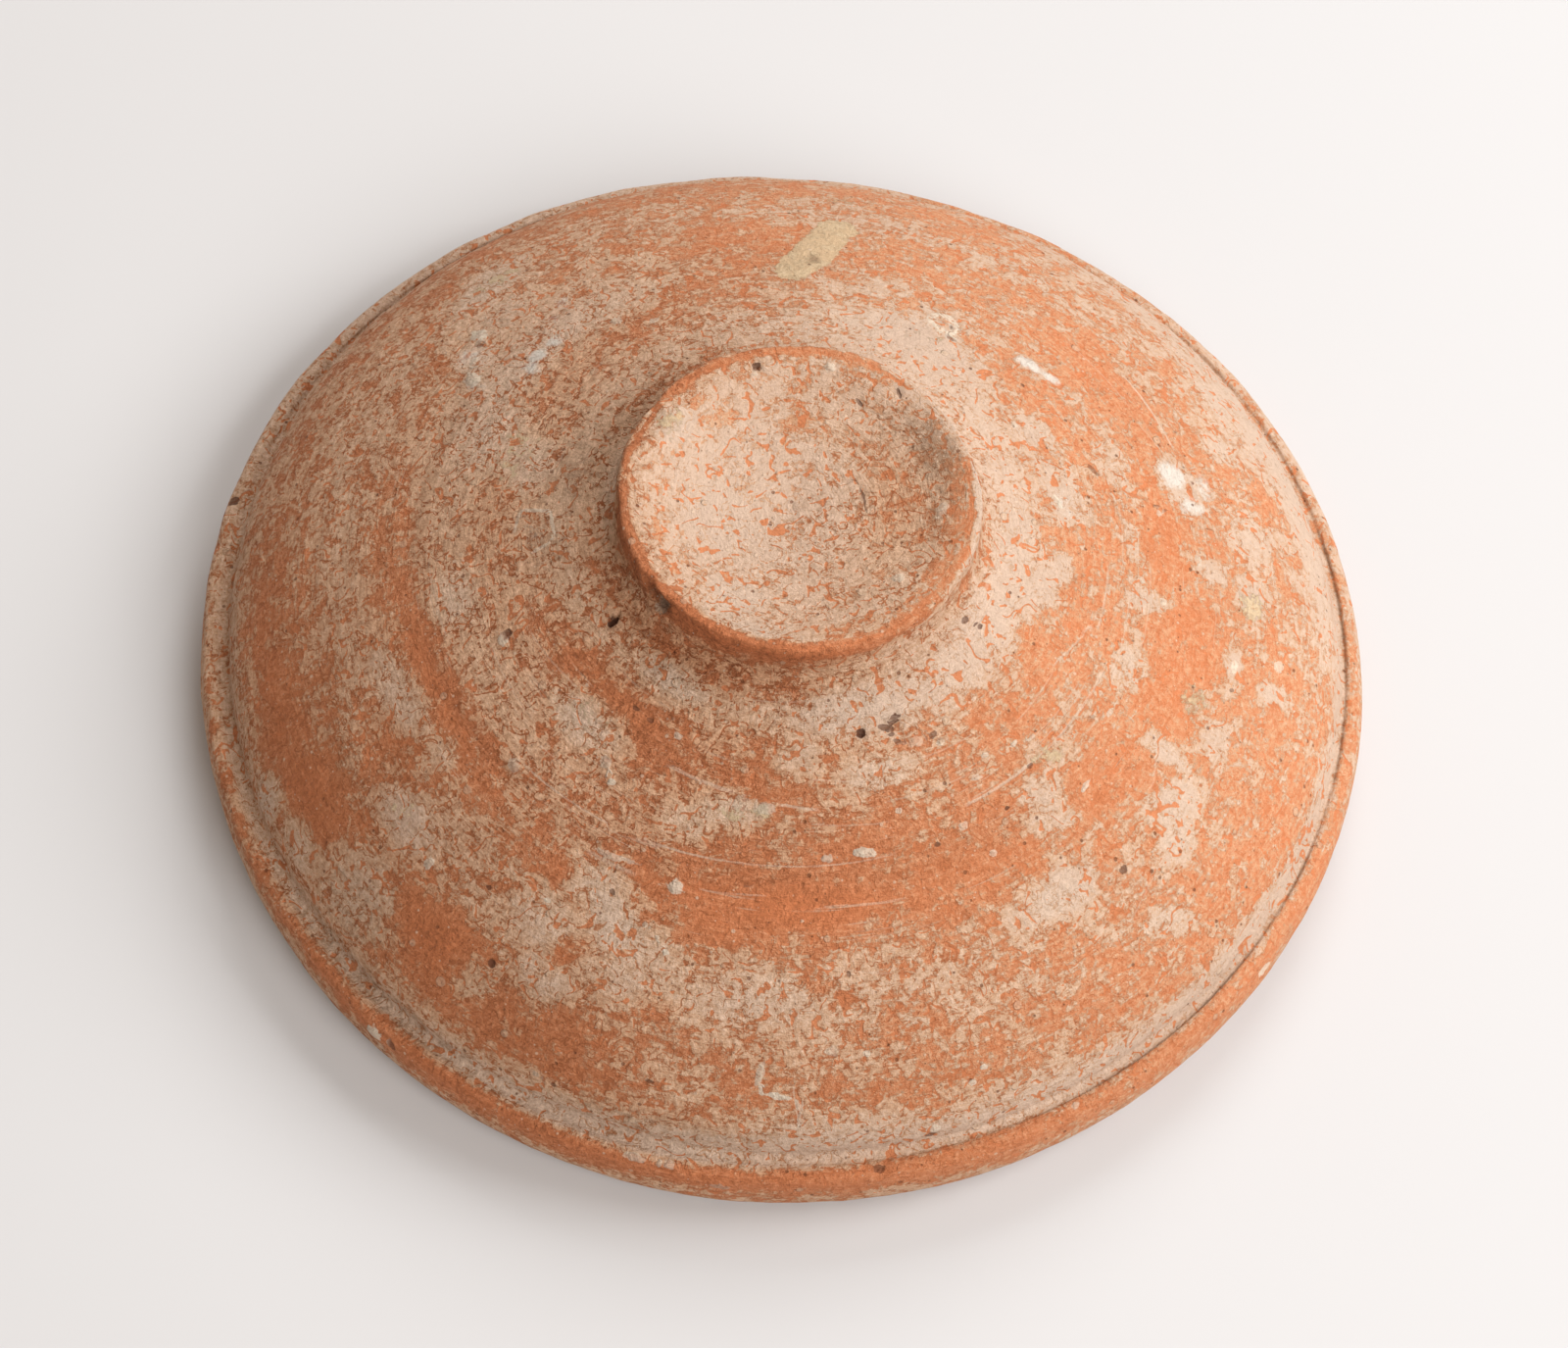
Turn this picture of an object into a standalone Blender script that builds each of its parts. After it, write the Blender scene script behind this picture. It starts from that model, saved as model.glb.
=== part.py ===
"""Terra sigillata bowl, turned over so that it stands on its rim.

A shallow wheel-thrown bowl of red-slipped clay, about 170 mm across. It has a small foot
ring with a dished underside, a wall that spreads out and dives into a narrow groove, and a
round rim band. It stands upside down with the foot up, and it is hollow below. All lengths
are in metres and all angles in degrees. The origin is the middle of the plane that the lip
rests on, and +Z points up through the foot.
"""
import math

import bmesh
import bpy
from mathutils import Vector

# Overall size
RIM_RADIUS = 0.085  # widest part of the rim band
HEIGHT = 0.0521  # from the plane of the lip to the top of the foot ring

# Rim band, seen from outside as a round moulding under the groove
BAND_HEIGHT = 0.0124  # from the lip up to the band's top edge
BAND_SWELL = 0.0032  # how far the band stands out past its top edge
BAND_FULLNESS = 2.4  # 2 makes its upper half part of an ellipse, more makes it squarer
LIP_INSET = 0.0042  # how far the band curls in again down to the lip
LIP_LAND = 0.0012  # width of the flat ring that the bowl rests on

# Groove between the wall and the rim band
GROOVE_DEPTH = 0.0012  # its bottom, below the band's top edge
GROOVE_WIDTH = 0.0008  # across its mouth
GROOVE_ANGLE = 85.0  # how steeply the wall dives into it

# Foot ring
FOOT_RADIUS = 0.0239  # middle of the ring's flat top
FOOT_HEIGHT = 0.0068  # from the neck up to the ring's top
FOOT_LAND = 0.0010  # width of the ring's flat top
FOOT_EDGE = 0.0016  # rounding outside the flat top
DISH_DEPTH = 0.0038  # hollow of the underside, at its middle
DISH_CURVE = 2.7  # how late the dish turns up towards the ring

# Wall and floor
NECK_RADIUS = 0.0279  # where the wall leaves the foot ring
NECK_ANGLE = 20.0  # slope of the wall there
NECK_PULL = 0.58  # share of the wall's span that keeps to that slope
SHOULDER_PULL = 0.23  # the same at the groove
WALL = 0.0055  # thickness of the wall
FLOOR = 0.0060  # thickness of the floor under the middle of the dish
LIP_TURN = 0.26  # share of the rim's inside that curls in to the lip
RIM_BACK = 0.5  # share of the rim's inside that runs on from the wall

# The bowl was pulled slightly out of round, and its foot sits slightly askew
OVAL = 0.0064  # share of the radius
OVAL_TOWARDS = -7.0
THREE_LOBES = 0.0056  # share of the radius
LOBES_TOWARDS = 22.5
FOOT_SKEW = 0.76
FOOT_RISES_TOWARDS = -115.5

# Knocks in the foot ring's outer edge: direction, reach and depth
FOOT_CHIPS = (
    (-135.0, 0.0030, 0.0018),
    (158.0, 0.0022, 0.0010),
)

# Fineness of the faceted solid
SIDES = 84
DISH_STEPS = 6
EDGE_STEPS = 4
NECK_STEPS = 4
WALL_STEPS = 13
BAND_STEPS = 10
RIM_BACK_STEPS = 5
FLOOR_STEPS = 4

# Fired red slip, from the photo
SLIP_COLOUR = (0.56, 0.19, 0.085, 1.0)
SLIP_ROUGHNESS = 0.72


def remove_old_objects():
    """Empty the scene."""
    for thing in list(bpy.data.objects):
        bpy.data.objects.remove(thing, do_unlink=True)


def curve(start, start_pull, end_pull, end, steps):
    """Points of a cubic curve, leaving out its first point."""
    corners = [Vector(point) for point in (start, start_pull, end_pull, end)]
    points = []
    for step in range(1, steps + 1):
        t = step / steps
        weights = ((1 - t) ** 3, 3 * t * (1 - t) ** 2, 3 * t * t * (1 - t), t ** 3)
        points.append(sum((corner * weight for corner, weight in zip(corners, weights)), Vector((0, 0))))
    return points


def slope(angle):
    """Direction that runs outwards and down at this angle, as radius and height."""
    return Vector((math.cos(math.radians(angle)), -math.sin(math.radians(angle))))


def dish():
    """Underside of the bowl, from its middle out to the inner edge of the ring's flat top."""
    edge = FOOT_RADIUS - FOOT_LAND / 2
    points = []
    for step in range(DISH_STEPS + 1):
        share = (step / DISH_STEPS) ** 0.7
        points.append(Vector((edge * share, HEIGHT - DISH_DEPTH * (1 - share ** DISH_CURVE))))
    return points


def foot_ring():
    """The ring's flat top, its rounded outer edge and its concave side, down to the neck."""
    land = Vector((FOOT_RADIUS + FOOT_LAND / 2, HEIGHT))
    edge = land + Vector((FOOT_EDGE, -FOOT_EDGE))
    neck = Vector((NECK_RADIUS, HEIGHT - FOOT_HEIGHT))
    round_pull = FOOT_EDGE * 0.55
    side_drop = edge.y - neck.y
    outer_edge = curve(land, land + Vector((round_pull, 0)), edge + Vector((0, round_pull)), edge, EDGE_STEPS)
    side = curve(edge, edge - Vector((0, side_drop * 0.6)), neck - slope(NECK_ANGLE) * side_drop * 0.4,
                 neck, NECK_STEPS)
    return [land] + outer_edge + side


def wall_outside():
    """The wall, from the neck to the bottom of the groove, leaving out the neck itself."""
    neck = Vector((NECK_RADIUS, HEIGHT - FOOT_HEIGHT))
    foot_of_wall = Vector((RIM_RADIUS - BAND_SWELL - GROOVE_WIDTH, BAND_HEIGHT - GROOVE_DEPTH))
    span = foot_of_wall.x - neck.x
    return curve(neck, neck + slope(NECK_ANGLE) * span * NECK_PULL,
                 foot_of_wall - slope(GROOVE_ANGLE) * span * SHOULDER_PULL, foot_of_wall, WALL_STEPS)


def rim_band():
    """The band's round outside, from its top edge down to the outer edge of the flat lip."""
    half_height = BAND_HEIGHT / 2
    points = []
    for step in range(BAND_STEPS + 1):
        angle = math.pi * (0.5 - step / BAND_STEPS)
        upper = angle > 0
        swell = BAND_SWELL if upper else LIP_INSET
        fullness = BAND_FULLNESS if upper else 2.0
        out = max(math.cos(angle), 0.0) ** (2 / fullness)
        up = math.copysign(abs(math.sin(angle)) ** (2 / fullness), angle)
        points.append(Vector((RIM_RADIUS - swell * (1 - out), half_height * (1 + up))))
    return points


def inside():
    """The hollow, from the inner edge of the flat lip up to the middle of the floor."""
    wall = [Vector((NECK_RADIUS, HEIGHT - FOOT_HEIGHT))] + wall_outside()
    backs = []
    for before, here, after in zip(wall, wall[1:], wall[2:]):
        along = (after - before).normalized()
        backs.append(here + WALL * Vector((along.y, -along.x)))
    lip = Vector((RIM_RADIUS - LIP_INSET - LIP_LAND, 0))
    top = backs[-1]
    drop = top.y - lip.y
    rim = curve(top, top + slope(GROOVE_ANGLE) * drop * RIM_BACK, lip - Vector((drop * LIP_TURN, 0)), lip,
                RIM_BACK_STEPS)
    first = backs[0]
    middle = Vector((0, HEIGHT - DISH_DEPTH - FLOOR))
    heading = (backs[1] - first).normalized()
    floor = curve(middle, Vector((first.x / 2, middle.y)), first - heading * first.x / 3, first, FLOOR_STEPS)
    return list(reversed([middle] + floor + backs[1:] + rim))


def out_of_round(turn):
    """Share by which the radius grows in this direction."""
    oval = OVAL * math.cos(2 * (turn - math.radians(OVAL_TOWARDS)))
    lobes = THREE_LOBES * math.cos(3 * (turn - math.radians(LOBES_TOWARDS)))
    return oval + lobes


def settle(point):
    """Carry a point of the perfectly turned bowl to its place on the real one."""
    radius = math.hypot(point.x, point.y)
    turn = math.atan2(point.y, point.x)
    spread = (radius - NECK_RADIUS) / (RIM_RADIUS - NECK_RADIUS)
    stretch = 1 + out_of_round(turn) * min(max(spread, 0.0), 1.0)
    lift = (point.z - BAND_HEIGHT) / (HEIGHT - FOOT_HEIGHT - BAND_HEIGHT)
    skew = math.tan(math.radians(FOOT_SKEW)) * min(max(lift, 0.0), 1.0)
    towards = radius * math.cos(turn - math.radians(FOOT_RISES_TOWARDS))
    return Vector((point.x * stretch, point.y * stretch, point.z + skew * towards))


def chip(point):
    """Push a point into the clay where the foot ring's outer edge was knocked."""
    moved = point.copy()
    for direction, reach, depth in FOOT_CHIPS:
        turn = math.radians(direction)
        outwards = Vector((math.cos(turn), math.sin(turn), 0))
        knock = outwards * (FOOT_RADIUS + FOOT_LAND / 2 + FOOT_EDGE) + Vector((0, 0, HEIGHT - FOOT_EDGE / 2))
        near = 1 - (point - knock).length / reach
        if near > 0:
            moved -= (outwards + Vector((0, 0, 1))).normalized() * depth * min(1.0, near * 2)
    return moved


def centre_on_origin(mesh):
    """Move the bowl sideways so that the origin is under the middle of its bounding box."""
    for axis in (0, 1):
        places = [vert.co[axis] for vert in mesh.verts]
        middle = (min(places) + max(places)) / 2
        for vert in mesh.verts:
            vert.co[axis] -= middle


def slip_material():
    """Matt red slip."""
    material = bpy.data.materials.new("red_slip")
    material.use_nodes = True
    shader = material.node_tree.nodes["Principled BSDF"]
    shader.inputs["Base Color"].default_value = SLIP_COLOUR
    shader.inputs["Roughness"].default_value = SLIP_ROUGHNESS
    shader.inputs["Metallic"].default_value = 0.0
    return material


def make_bowl():
    """Spin the outline round +Z, close it, and give it its small faults."""
    outline = dish() + foot_ring() + wall_outside() + rim_band() + inside()
    mesh = bmesh.new()
    verts = [mesh.verts.new((point.x, 0, point.y)) for point in outline]
    edges = [mesh.edges.new(pair) for pair in zip(verts, verts[1:])]
    bmesh.ops.spin(mesh, geom=verts + edges, cent=(0, 0, 0), axis=(0, 0, 1), angle=2 * math.pi,
                   steps=SIDES, use_merge=True)
    bmesh.ops.remove_doubles(mesh, verts=mesh.verts, dist=0.00001)
    for vert in mesh.verts:
        vert.co = settle(chip(vert.co))
    centre_on_origin(mesh)
    bmesh.ops.recalc_face_normals(mesh, faces=mesh.faces)
    data = bpy.data.meshes.new("bowl")
    mesh.to_mesh(data)
    mesh.free()
    data.materials.append(slip_material())
    data.shade_smooth()
    data.set_sharp_from_angle(angle=math.radians(40))
    bowl = bpy.data.objects.new("bowl", data)
    bpy.context.scene.collection.objects.link(bowl)
    return bowl


remove_old_objects()
make_bowl()
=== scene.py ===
# %% [markdown]
# # A red-slip bowl, turned over on its rim
#
# This lesson builds one small antique bowl of red-slipped clay in Blender. The bowl stands upside down, as finds
# often do when their foot is shown. It was thrown on a wheel as one piece, so there is one surface to make. The
# care goes into its outline, its small faults, and the worn finish. All sizes below are in millimetres, and they
# are turned into metres where the surface becomes a mesh.

# %% Load the frame
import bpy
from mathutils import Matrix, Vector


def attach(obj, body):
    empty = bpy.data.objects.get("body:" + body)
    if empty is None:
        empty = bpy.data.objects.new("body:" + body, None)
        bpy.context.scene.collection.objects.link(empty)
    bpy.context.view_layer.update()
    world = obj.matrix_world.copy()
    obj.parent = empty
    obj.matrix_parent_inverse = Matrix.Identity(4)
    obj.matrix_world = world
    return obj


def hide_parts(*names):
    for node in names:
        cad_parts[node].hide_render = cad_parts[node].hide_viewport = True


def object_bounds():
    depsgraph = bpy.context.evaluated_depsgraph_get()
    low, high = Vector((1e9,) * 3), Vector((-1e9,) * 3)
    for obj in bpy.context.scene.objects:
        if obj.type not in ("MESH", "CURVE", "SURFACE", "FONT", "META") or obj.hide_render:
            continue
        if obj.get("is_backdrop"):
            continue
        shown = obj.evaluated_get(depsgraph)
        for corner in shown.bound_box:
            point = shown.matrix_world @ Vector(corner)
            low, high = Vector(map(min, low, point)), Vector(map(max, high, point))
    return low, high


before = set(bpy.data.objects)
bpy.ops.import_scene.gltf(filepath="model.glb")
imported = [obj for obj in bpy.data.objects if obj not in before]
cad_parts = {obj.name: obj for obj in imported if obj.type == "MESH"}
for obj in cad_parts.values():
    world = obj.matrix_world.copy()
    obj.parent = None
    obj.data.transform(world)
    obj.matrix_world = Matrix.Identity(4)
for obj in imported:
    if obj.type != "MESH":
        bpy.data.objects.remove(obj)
cad_low, cad_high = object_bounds()
print("solid bowl, mm:", [round(size * 1000, 1) for size in cad_high - cad_low])

# %% Tools and units
import math

import bpy
import numpy as np

MM = 0.001
TURN = 2 * np.pi

# %% [markdown]
# ## The outline
#
# A potter judges a bowl by its section. We draw half of it, from the middle of the foot's underside, over the foot
# ring, down the wall, into the groove, round the rim band, over the lip, and back up the inside to the middle of
# the floor. Each stretch has a formula of its own: a power curve for the dished underside, cubic curves for the
# foot and the wall, and parts of ovals for the rim band. The sizes are those of the solid bowl.

# %% Sizes of the bowl
RIM_RADIUS = 85.0
HEIGHT = 52.1
BAND_HEIGHT = 12.4
BAND_SWELL = 3.2
BAND_FULLNESS = 2.4
LIP_INSET = 4.2
LIP_LAND = 1.2
GROOVE_DEPTH = 1.2
GROOVE_WIDTH = 0.8
GROOVE_ANGLE = 85.0
FOOT_RADIUS = 23.9
FOOT_HEIGHT = 6.8
FOOT_LAND = 0.8
FOOT_EDGE = 0.9
DISH_DEPTH = 3.8
DISH_CURVE = 2.7
NECK_RADIUS = 27.9
NECK_ANGLE = 20.0
NECK_PULL = 0.58
SHOULDER_PULL = 0.23
WALL = 5.5
FLOOR = 6.0
LIP_TURN = 0.26
RIM_BACK = 0.5
FINE_SPAN = 5.0


# %% Curves that the outline is made of
def curve(start, start_pull, end_pull, end, count=200):
    """A cubic curve: the four corners weighted by (1-t)^3, 3t(1-t)^2, 3t^2(1-t) and t^3 as t runs from 0 to 1."""
    t = np.linspace(0, 1, count)[:, None]
    corners = np.array([start, start_pull, end_pull, end], float)
    return ((1 - t) ** 3 * corners[0] + 3 * t * (1 - t) ** 2 * corners[1]
            + 3 * t ** 2 * (1 - t) * corners[2] + t ** 3 * corners[3])


def slope(angle):
    """Direction that runs outwards and down at this angle, as radius and height."""
    return np.array([math.cos(math.radians(angle)), -math.sin(math.radians(angle))])


def spaced(points, count, fine_at=0.0, fineness=0.0):
    """The same line in this many points. They crowd (1 + fineness)-fold where the share of the walk is fine_at."""
    walk = np.concatenate([[0], np.cumsum(np.hypot(*np.diff(points, axis=0).T))])
    crowd = 1 + fineness * np.exp(-((walk - fine_at * walk[-1]) / FINE_SPAN) ** 2)
    tally = np.concatenate([[0], np.cumsum((crowd[1:] + crowd[:-1]) / 2 * np.diff(walk))])
    places = np.interp(np.linspace(0, tally[-1], count), tally, walk)
    return np.stack([np.interp(places, walk, points[:, 0]), np.interp(places, walk, points[:, 1])], axis=1)


# %% The stretches of the outline
def dish():
    """Height falls from the ring to the middle by DISH_DEPTH times (1 - share of the radius ^ DISH_CURVE)."""
    share = np.linspace(0, 1, 300)
    radius = (FOOT_RADIUS - FOOT_LAND / 2) * share
    return np.stack([radius, HEIGHT - DISH_DEPTH * (1 - share ** DISH_CURVE)], axis=1)


def foot_ring():
    """Flat top, a quarter round outside it, and a hollow side that flows into the neck."""
    land = np.array([FOOT_RADIUS + FOOT_LAND / 2, HEIGHT])
    edge = land + [FOOT_EDGE, -FOOT_EDGE]
    neck = np.array([NECK_RADIUS, HEIGHT - FOOT_HEIGHT])
    drop = edge[1] - neck[1]
    pull = FOOT_EDGE * 0.55
    corner = curve(land, land + [pull, 0], edge + [0, pull], edge)
    side = curve(edge, edge - [0, drop * 0.6], neck - slope(NECK_ANGLE) * drop * 0.4, neck)
    return np.concatenate([corner, side[1:]])


def wall_outside():
    """One long cubic from the neck into the groove."""
    neck = np.array([NECK_RADIUS, HEIGHT - FOOT_HEIGHT])
    end = np.array([RIM_RADIUS - BAND_SWELL - GROOVE_WIDTH, BAND_HEIGHT - GROOVE_DEPTH])
    span = end[0] - neck[0]
    return curve(neck, neck + slope(NECK_ANGLE) * span * NECK_PULL,
                 end - slope(GROOVE_ANGLE) * span * SHOULDER_PULL, end, 600)


def rim_band():
    """Upper half: part of a squarish oval. Lower half: part of an ellipse that curls in to the lip."""
    angle = np.pi * np.linspace(0.5, -0.5, 401)
    upper = angle > 0
    swell = np.where(upper, BAND_SWELL, LIP_INSET)
    power = 2 / np.where(upper, BAND_FULLNESS, 2.0)
    out = np.clip(np.cos(angle), 0, 1) ** power
    up = np.sign(angle) * np.abs(np.sin(angle)) ** power
    return np.stack([RIM_RADIUS - swell * (1 - out), BAND_HEIGHT / 2 * (1 + up)], axis=1)


def inside():
    """The wall's outside moved back by WALL along its normal, joined to the lip and to the floor's middle."""
    wall = wall_outside()
    along = np.gradient(wall, axis=0)
    along /= np.hypot(*along.T)[:, None]
    back = wall + WALL * np.stack([along[:, 1], -along[:, 0]], axis=1)
    lip = np.array([RIM_RADIUS - LIP_INSET - LIP_LAND, 0])
    drop = back[-1][1]
    rim = curve(back[-1], back[-1] + slope(GROOVE_ANGLE) * drop * RIM_BACK, lip - [drop * LIP_TURN, 0], lip)
    first = back[0]
    middle = np.array([0, HEIGHT - DISH_DEPTH - FLOOR])
    floor = curve(middle, [first[0] / 2, middle[1]], first - along[0] * first[0] / 3, first)
    return np.concatenate([floor, back[1:], rim[1:]])[::-1]


# %% [markdown]
# ## A grid of rows and columns
#
# The whole bowl is one grid. Rows follow the outline and columns go round. We give the rows about the same spacing
# as the columns have at mid-wall, closer ones over the foot ring and the groove, and wide ones inside, where the
# surface is plain and out of sight.

# %% Rows of the grid
COLUMNS = 480
ROW_COUNTS = {"dish": 29, "foot": 22, "wall": 96, "band": 41, "inside": 22}
GROOVE_FINENESS, FOOT_FINENESS = 1.6, 0.5

stretches = {
    "dish": spaced(dish(), ROW_COUNTS["dish"], 1.0, FOOT_FINENESS),
    "foot": spaced(foot_ring(), ROW_COUNTS["foot"]),
    "wall": spaced(wall_outside(), ROW_COUNTS["wall"], 1.0, GROOVE_FINENESS)[1:],
    "band": spaced(np.concatenate([wall_outside()[-1:], rim_band()]), ROW_COUNTS["band"], 0.0, GROOVE_FINENESS)[1:],
    "inside": spaced(inside(), ROW_COUNTS["inside"]),
}
outline = np.concatenate(list(stretches.values()))
walk = np.concatenate([[0], np.cumsum(np.hypot(*np.diff(outline, axis=0).T))])
starts = dict(zip(stretches, np.cumsum([0] + [len(part) for part in stretches.values()])))
print("rows:", len(outline), " outline length, mm:", round(walk[-1], 1))
for name, row in starts.items():
    print(" ", name, "starts at row", row, "after", round(walk[row], 1), "mm")

azimuth = np.arange(COLUMNS) / COLUMNS * TURN
along, round_ = np.meshgrid(walk, azimuth, indexing="ij")
radius = np.repeat(outline[:, :1], COLUMNS, axis=1)
height = np.repeat(outline[:, 1:], COLUMNS, axis=1)
outer = (np.arange(len(outline)) < starts["inside"])[:, None] & np.ones_like(along, bool)


# %% [markdown]
# ## Noise on a surface
#
# Clay is never quite smooth. We need soft random lumps that fit the solid, not its grid, so the noise is read at
# each point's place in space. It is a lattice of random numbers, blended smoothly between its eight neighbours.

# %% Smooth noise in space
LATTICE = 48


def lumps(place, size, seed):
    """Smooth noise from -1 to 1: a random value at each corner of a lattice of this size, eased in between."""
    values = np.random.default_rng(seed).uniform(-1, 1, (LATTICE,) * 3)
    spot = place / size
    base = np.floor(spot).astype(int)
    ease = spot - base
    ease = ease * ease * (3 - 2 * ease)
    total = np.zeros(place.shape[:-1])
    for corner in np.ndindex(2, 2, 2):
        at = (base + corner) % LATTICE
        weight = np.prod(np.where(corner, ease, 1 - ease), axis=-1)
        total += weight * values[at[..., 0], at[..., 1], at[..., 2]]
    return total


def rough(place, size, seed, octaves=3):
    """Lumps with finer lumps on them, each half as large and half as high."""
    return sum(lumps(place, size / 2 ** k, seed + k) / 2 ** k for k in range(octaves))


# %% [markdown]
# ## Out of round
#
# A bowl that was lifted wet off the wheel is never a true circle. This one is slightly oval and slightly
# three-sided, and its foot sits a little askew. The same shares of the radius are in the solid bowl.

# %% Carry the turned shape to the real one
OVAL = 0.0064
OVAL_TOWARDS = -7.0
THREE_LOBES = 0.0056
LOBES_TOWARDS = 22.5
FOOT_SKEW = 0.76
FOOT_RISES_TOWARDS = -115.5


def settle(radius, height, turn):
    """Radius grows by the sum of a twofold and a threefold cosine, height by a plane tilted towards one side."""
    stretch = (OVAL * np.cos(2 * (turn - math.radians(OVAL_TOWARDS)))
               + THREE_LOBES * np.cos(3 * (turn - math.radians(LOBES_TOWARDS))))
    spread = np.clip((radius - NECK_RADIUS) / (RIM_RADIUS - NECK_RADIUS), 0, 1)
    lift = np.clip((height - BAND_HEIGHT) / (HEIGHT - FOOT_HEIGHT - BAND_HEIGHT), 0, 1)
    skew = math.tan(math.radians(FOOT_SKEW)) * radius * np.cos(turn - math.radians(FOOT_RISES_TOWARDS))
    wide = radius * (1 + stretch * spread)
    return np.stack([wide * np.cos(turn), wide * np.sin(turn), height + skew * lift], axis=-1)


surface = settle(radius, height, round_)
middle = (surface.min(axis=(0, 1)) + surface.max(axis=(0, 1))) / 2
surface[..., :2] -= middle[:2]
print("turned shape, mm:", np.ptp(surface, axis=(0, 1)).round(2), " shifted by", middle[:2].round(3))


# %% Normals of the grid
def normals_of(grid):
    """The cross product of the steps along a column and along a row, pointing out of the clay."""
    down = np.gradient(grid, axis=0)
    wrapped = np.concatenate([grid[:, -1:], grid, grid[:, :1]], axis=1)
    across = (wrapped[:, 2:] - wrapped[:, :-2]) / 2
    normal = np.cross(across, down)
    normal[0] = normal[1].mean(axis=0)
    normal[-1] = normal[-2].mean(axis=0)
    return -normal / np.maximum(np.linalg.norm(normal, axis=-1, keepdims=True), 1e-9)


normal = normals_of(surface)
print("normal at the foot's middle and the floor's middle:", normal[0, 0].round(2), normal[-1, 0].round(2))

# %% [markdown]
# ## From grid to mesh
#
# The first and last rows are single points, so they become poles with fans of triangles. All other cells are
# quads. The result is one closed skin.

# %% Make a closed mesh from the grid
PIECE = "bowl_clay"


def put(name, data):
    """A new object in the scene, at the origin."""
    thing = bpy.data.objects.new(name, data)
    bpy.context.scene.collection.objects.link(thing)
    return thing


def closed_mesh(name, grid):
    """Rings of the grid joined by quads, and a fan of triangles at either end."""
    rows, columns, _ = grid.shape
    rings = grid[1:-1].reshape(-1, 3)
    points = np.concatenate([grid[0, :1], rings, grid[-1, :1]]) * MM
    last = len(points) - 1
    index = 1 + np.arange((rows - 2) * columns).reshape(rows - 2, columns)
    right = np.roll(index, -1, axis=1)
    quads = np.stack([index[:-1], index[1:], right[1:], right[:-1]], axis=-1).reshape(-1, 4)
    first_fan = np.stack([np.zeros(columns, int), index[0], right[0]], axis=-1)
    last_fan = np.stack([np.full(columns, last), right[-1], index[-1]], axis=-1)
    mesh = bpy.data.meshes.new(name)
    mesh.from_pydata(points, [], quads.tolist() + first_fan.tolist() + last_fan.tolist())
    return mesh


def on_points(values):
    """A grid of values in the order of the mesh's points."""
    return np.concatenate([values[0, :1], values[1:-1].reshape(-1, *values.shape[2:]), values[-1, :1]])


# %% [markdown]
# ## Places on the bowl
#
# Everything that follows is placed by two numbers, as a conservator would note it: the direction round the bowl in
# degrees, from the right and turning left, and the distance in millimetres from the middle of the foot, walked
# over the surface. Wide areas fade in degrees and millimetres. Small marks are ovals in millimetres.

# %% Fades and ovals
def away_from(turn):
    """Degrees round the bowl from this direction, between -180 and 180."""
    return (np.degrees(round_) - turn + 180) % 360 - 180


def towards(turn):
    """The cosine of the angle from this direction: 1 in it and -1 opposite."""
    return np.cos(np.radians(away_from(turn)))


def step(edge, width):
    """0 before this distance along the outline, 1 after it, eased over the width by 3t^2 - 2t^3."""
    share = np.clip((along - edge) / width + 0.5, 0, 1)
    return share * share * (3 - 2 * share)


def band(middle, half, power=2):
    """1 at this distance along the outline, falling to both sides as exp(-(distance / half) ^ power)."""
    return np.exp(-((along - middle) / half) ** power)


def arc(turn, half_turn, power=4):
    """1 in this direction, falling to 0 as 1 - u^power, where u is the share of half_turn degrees."""
    return np.clip(1 - (away_from(turn) / half_turn) ** power, 0, 1)


def area(turn, half_turn, out, half_out):
    """1 in the middle of a wide area, falling to 0 as (1 - u^2 - v^2)^2 towards its edge."""
    u = away_from(turn) / half_turn
    v = (along - out) / half_out
    return np.clip(1 - u * u - v * v, 0, 1) ** 2 * outer


def oval(turn, out, half_round, half_down, lean=0.0):
    """Distances from the middle of an oval, in its own half-sizes, after it is turned in the surface."""
    across = np.radians(away_from(turn)) * radius
    down = along - out
    lean = math.radians(lean)
    u = (across * math.cos(lean) + down * math.sin(lean)) / half_round
    v = (down * math.cos(lean) - across * math.sin(lean)) / half_down
    return u, v


def dome(turn, out, half_round, half_down, lean=0.0):
    """A smooth bump on an oval: (1 - u^2 - v^2)^2 inside it and 0 outside."""
    u, v = oval(turn, out, half_round, half_down, lean)
    return np.clip(1 - u * u - v * v, 0, 1) ** 2 * outer


def total(marks, shape=dome, power=1.0):
    """Sum of strength times shape ^ power over marks: direction, distance, two half-sizes, strength, maybe a lean."""
    return sum(strength * shape(turn, out, wide, tall, *lean) ** power
               for turn, out, wide, tall, strength, *lean in marks)


# %% [markdown]
# ## Relief
#
# Turning left low rings round the wall. Firing, burial and knocks left lumps, chips and pits. All of these are real
# relief, so they go into the mesh as a push along the normal. Details finer than the grid are left to the finish.
#
# The groove under the rim changes on its way round: sharp and narrow on one side, a soft hollow on the other. We
# get the soft side by smoothing the outline there, which fills the sharp corner as clay slurry did.

# %% The soft side of the groove
SOFT_SIDE_TURN, SOFT_SIDE_HALF = -140.0, 112.0
GROOVE_AT = walk[starts["band"] - 1]
GROOVE_REACH = 5.0
FOOT_EDGE_AT, FOOT_EDGE_REACH = 25.2, 2.6
SOFT_PASSES, SHARP_PASSES, EDGE_PASSES = 60, 22, 1


def smoothed(grid, passes):
    """Each row replaced by the average of itself and its two neighbours, several times over."""
    grid = grid.copy()
    for _ in range(passes):
        grid[1:-1] = (grid[:-2] + 2 * grid[1:-1] + grid[2:]) / 4
    return grid


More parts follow.
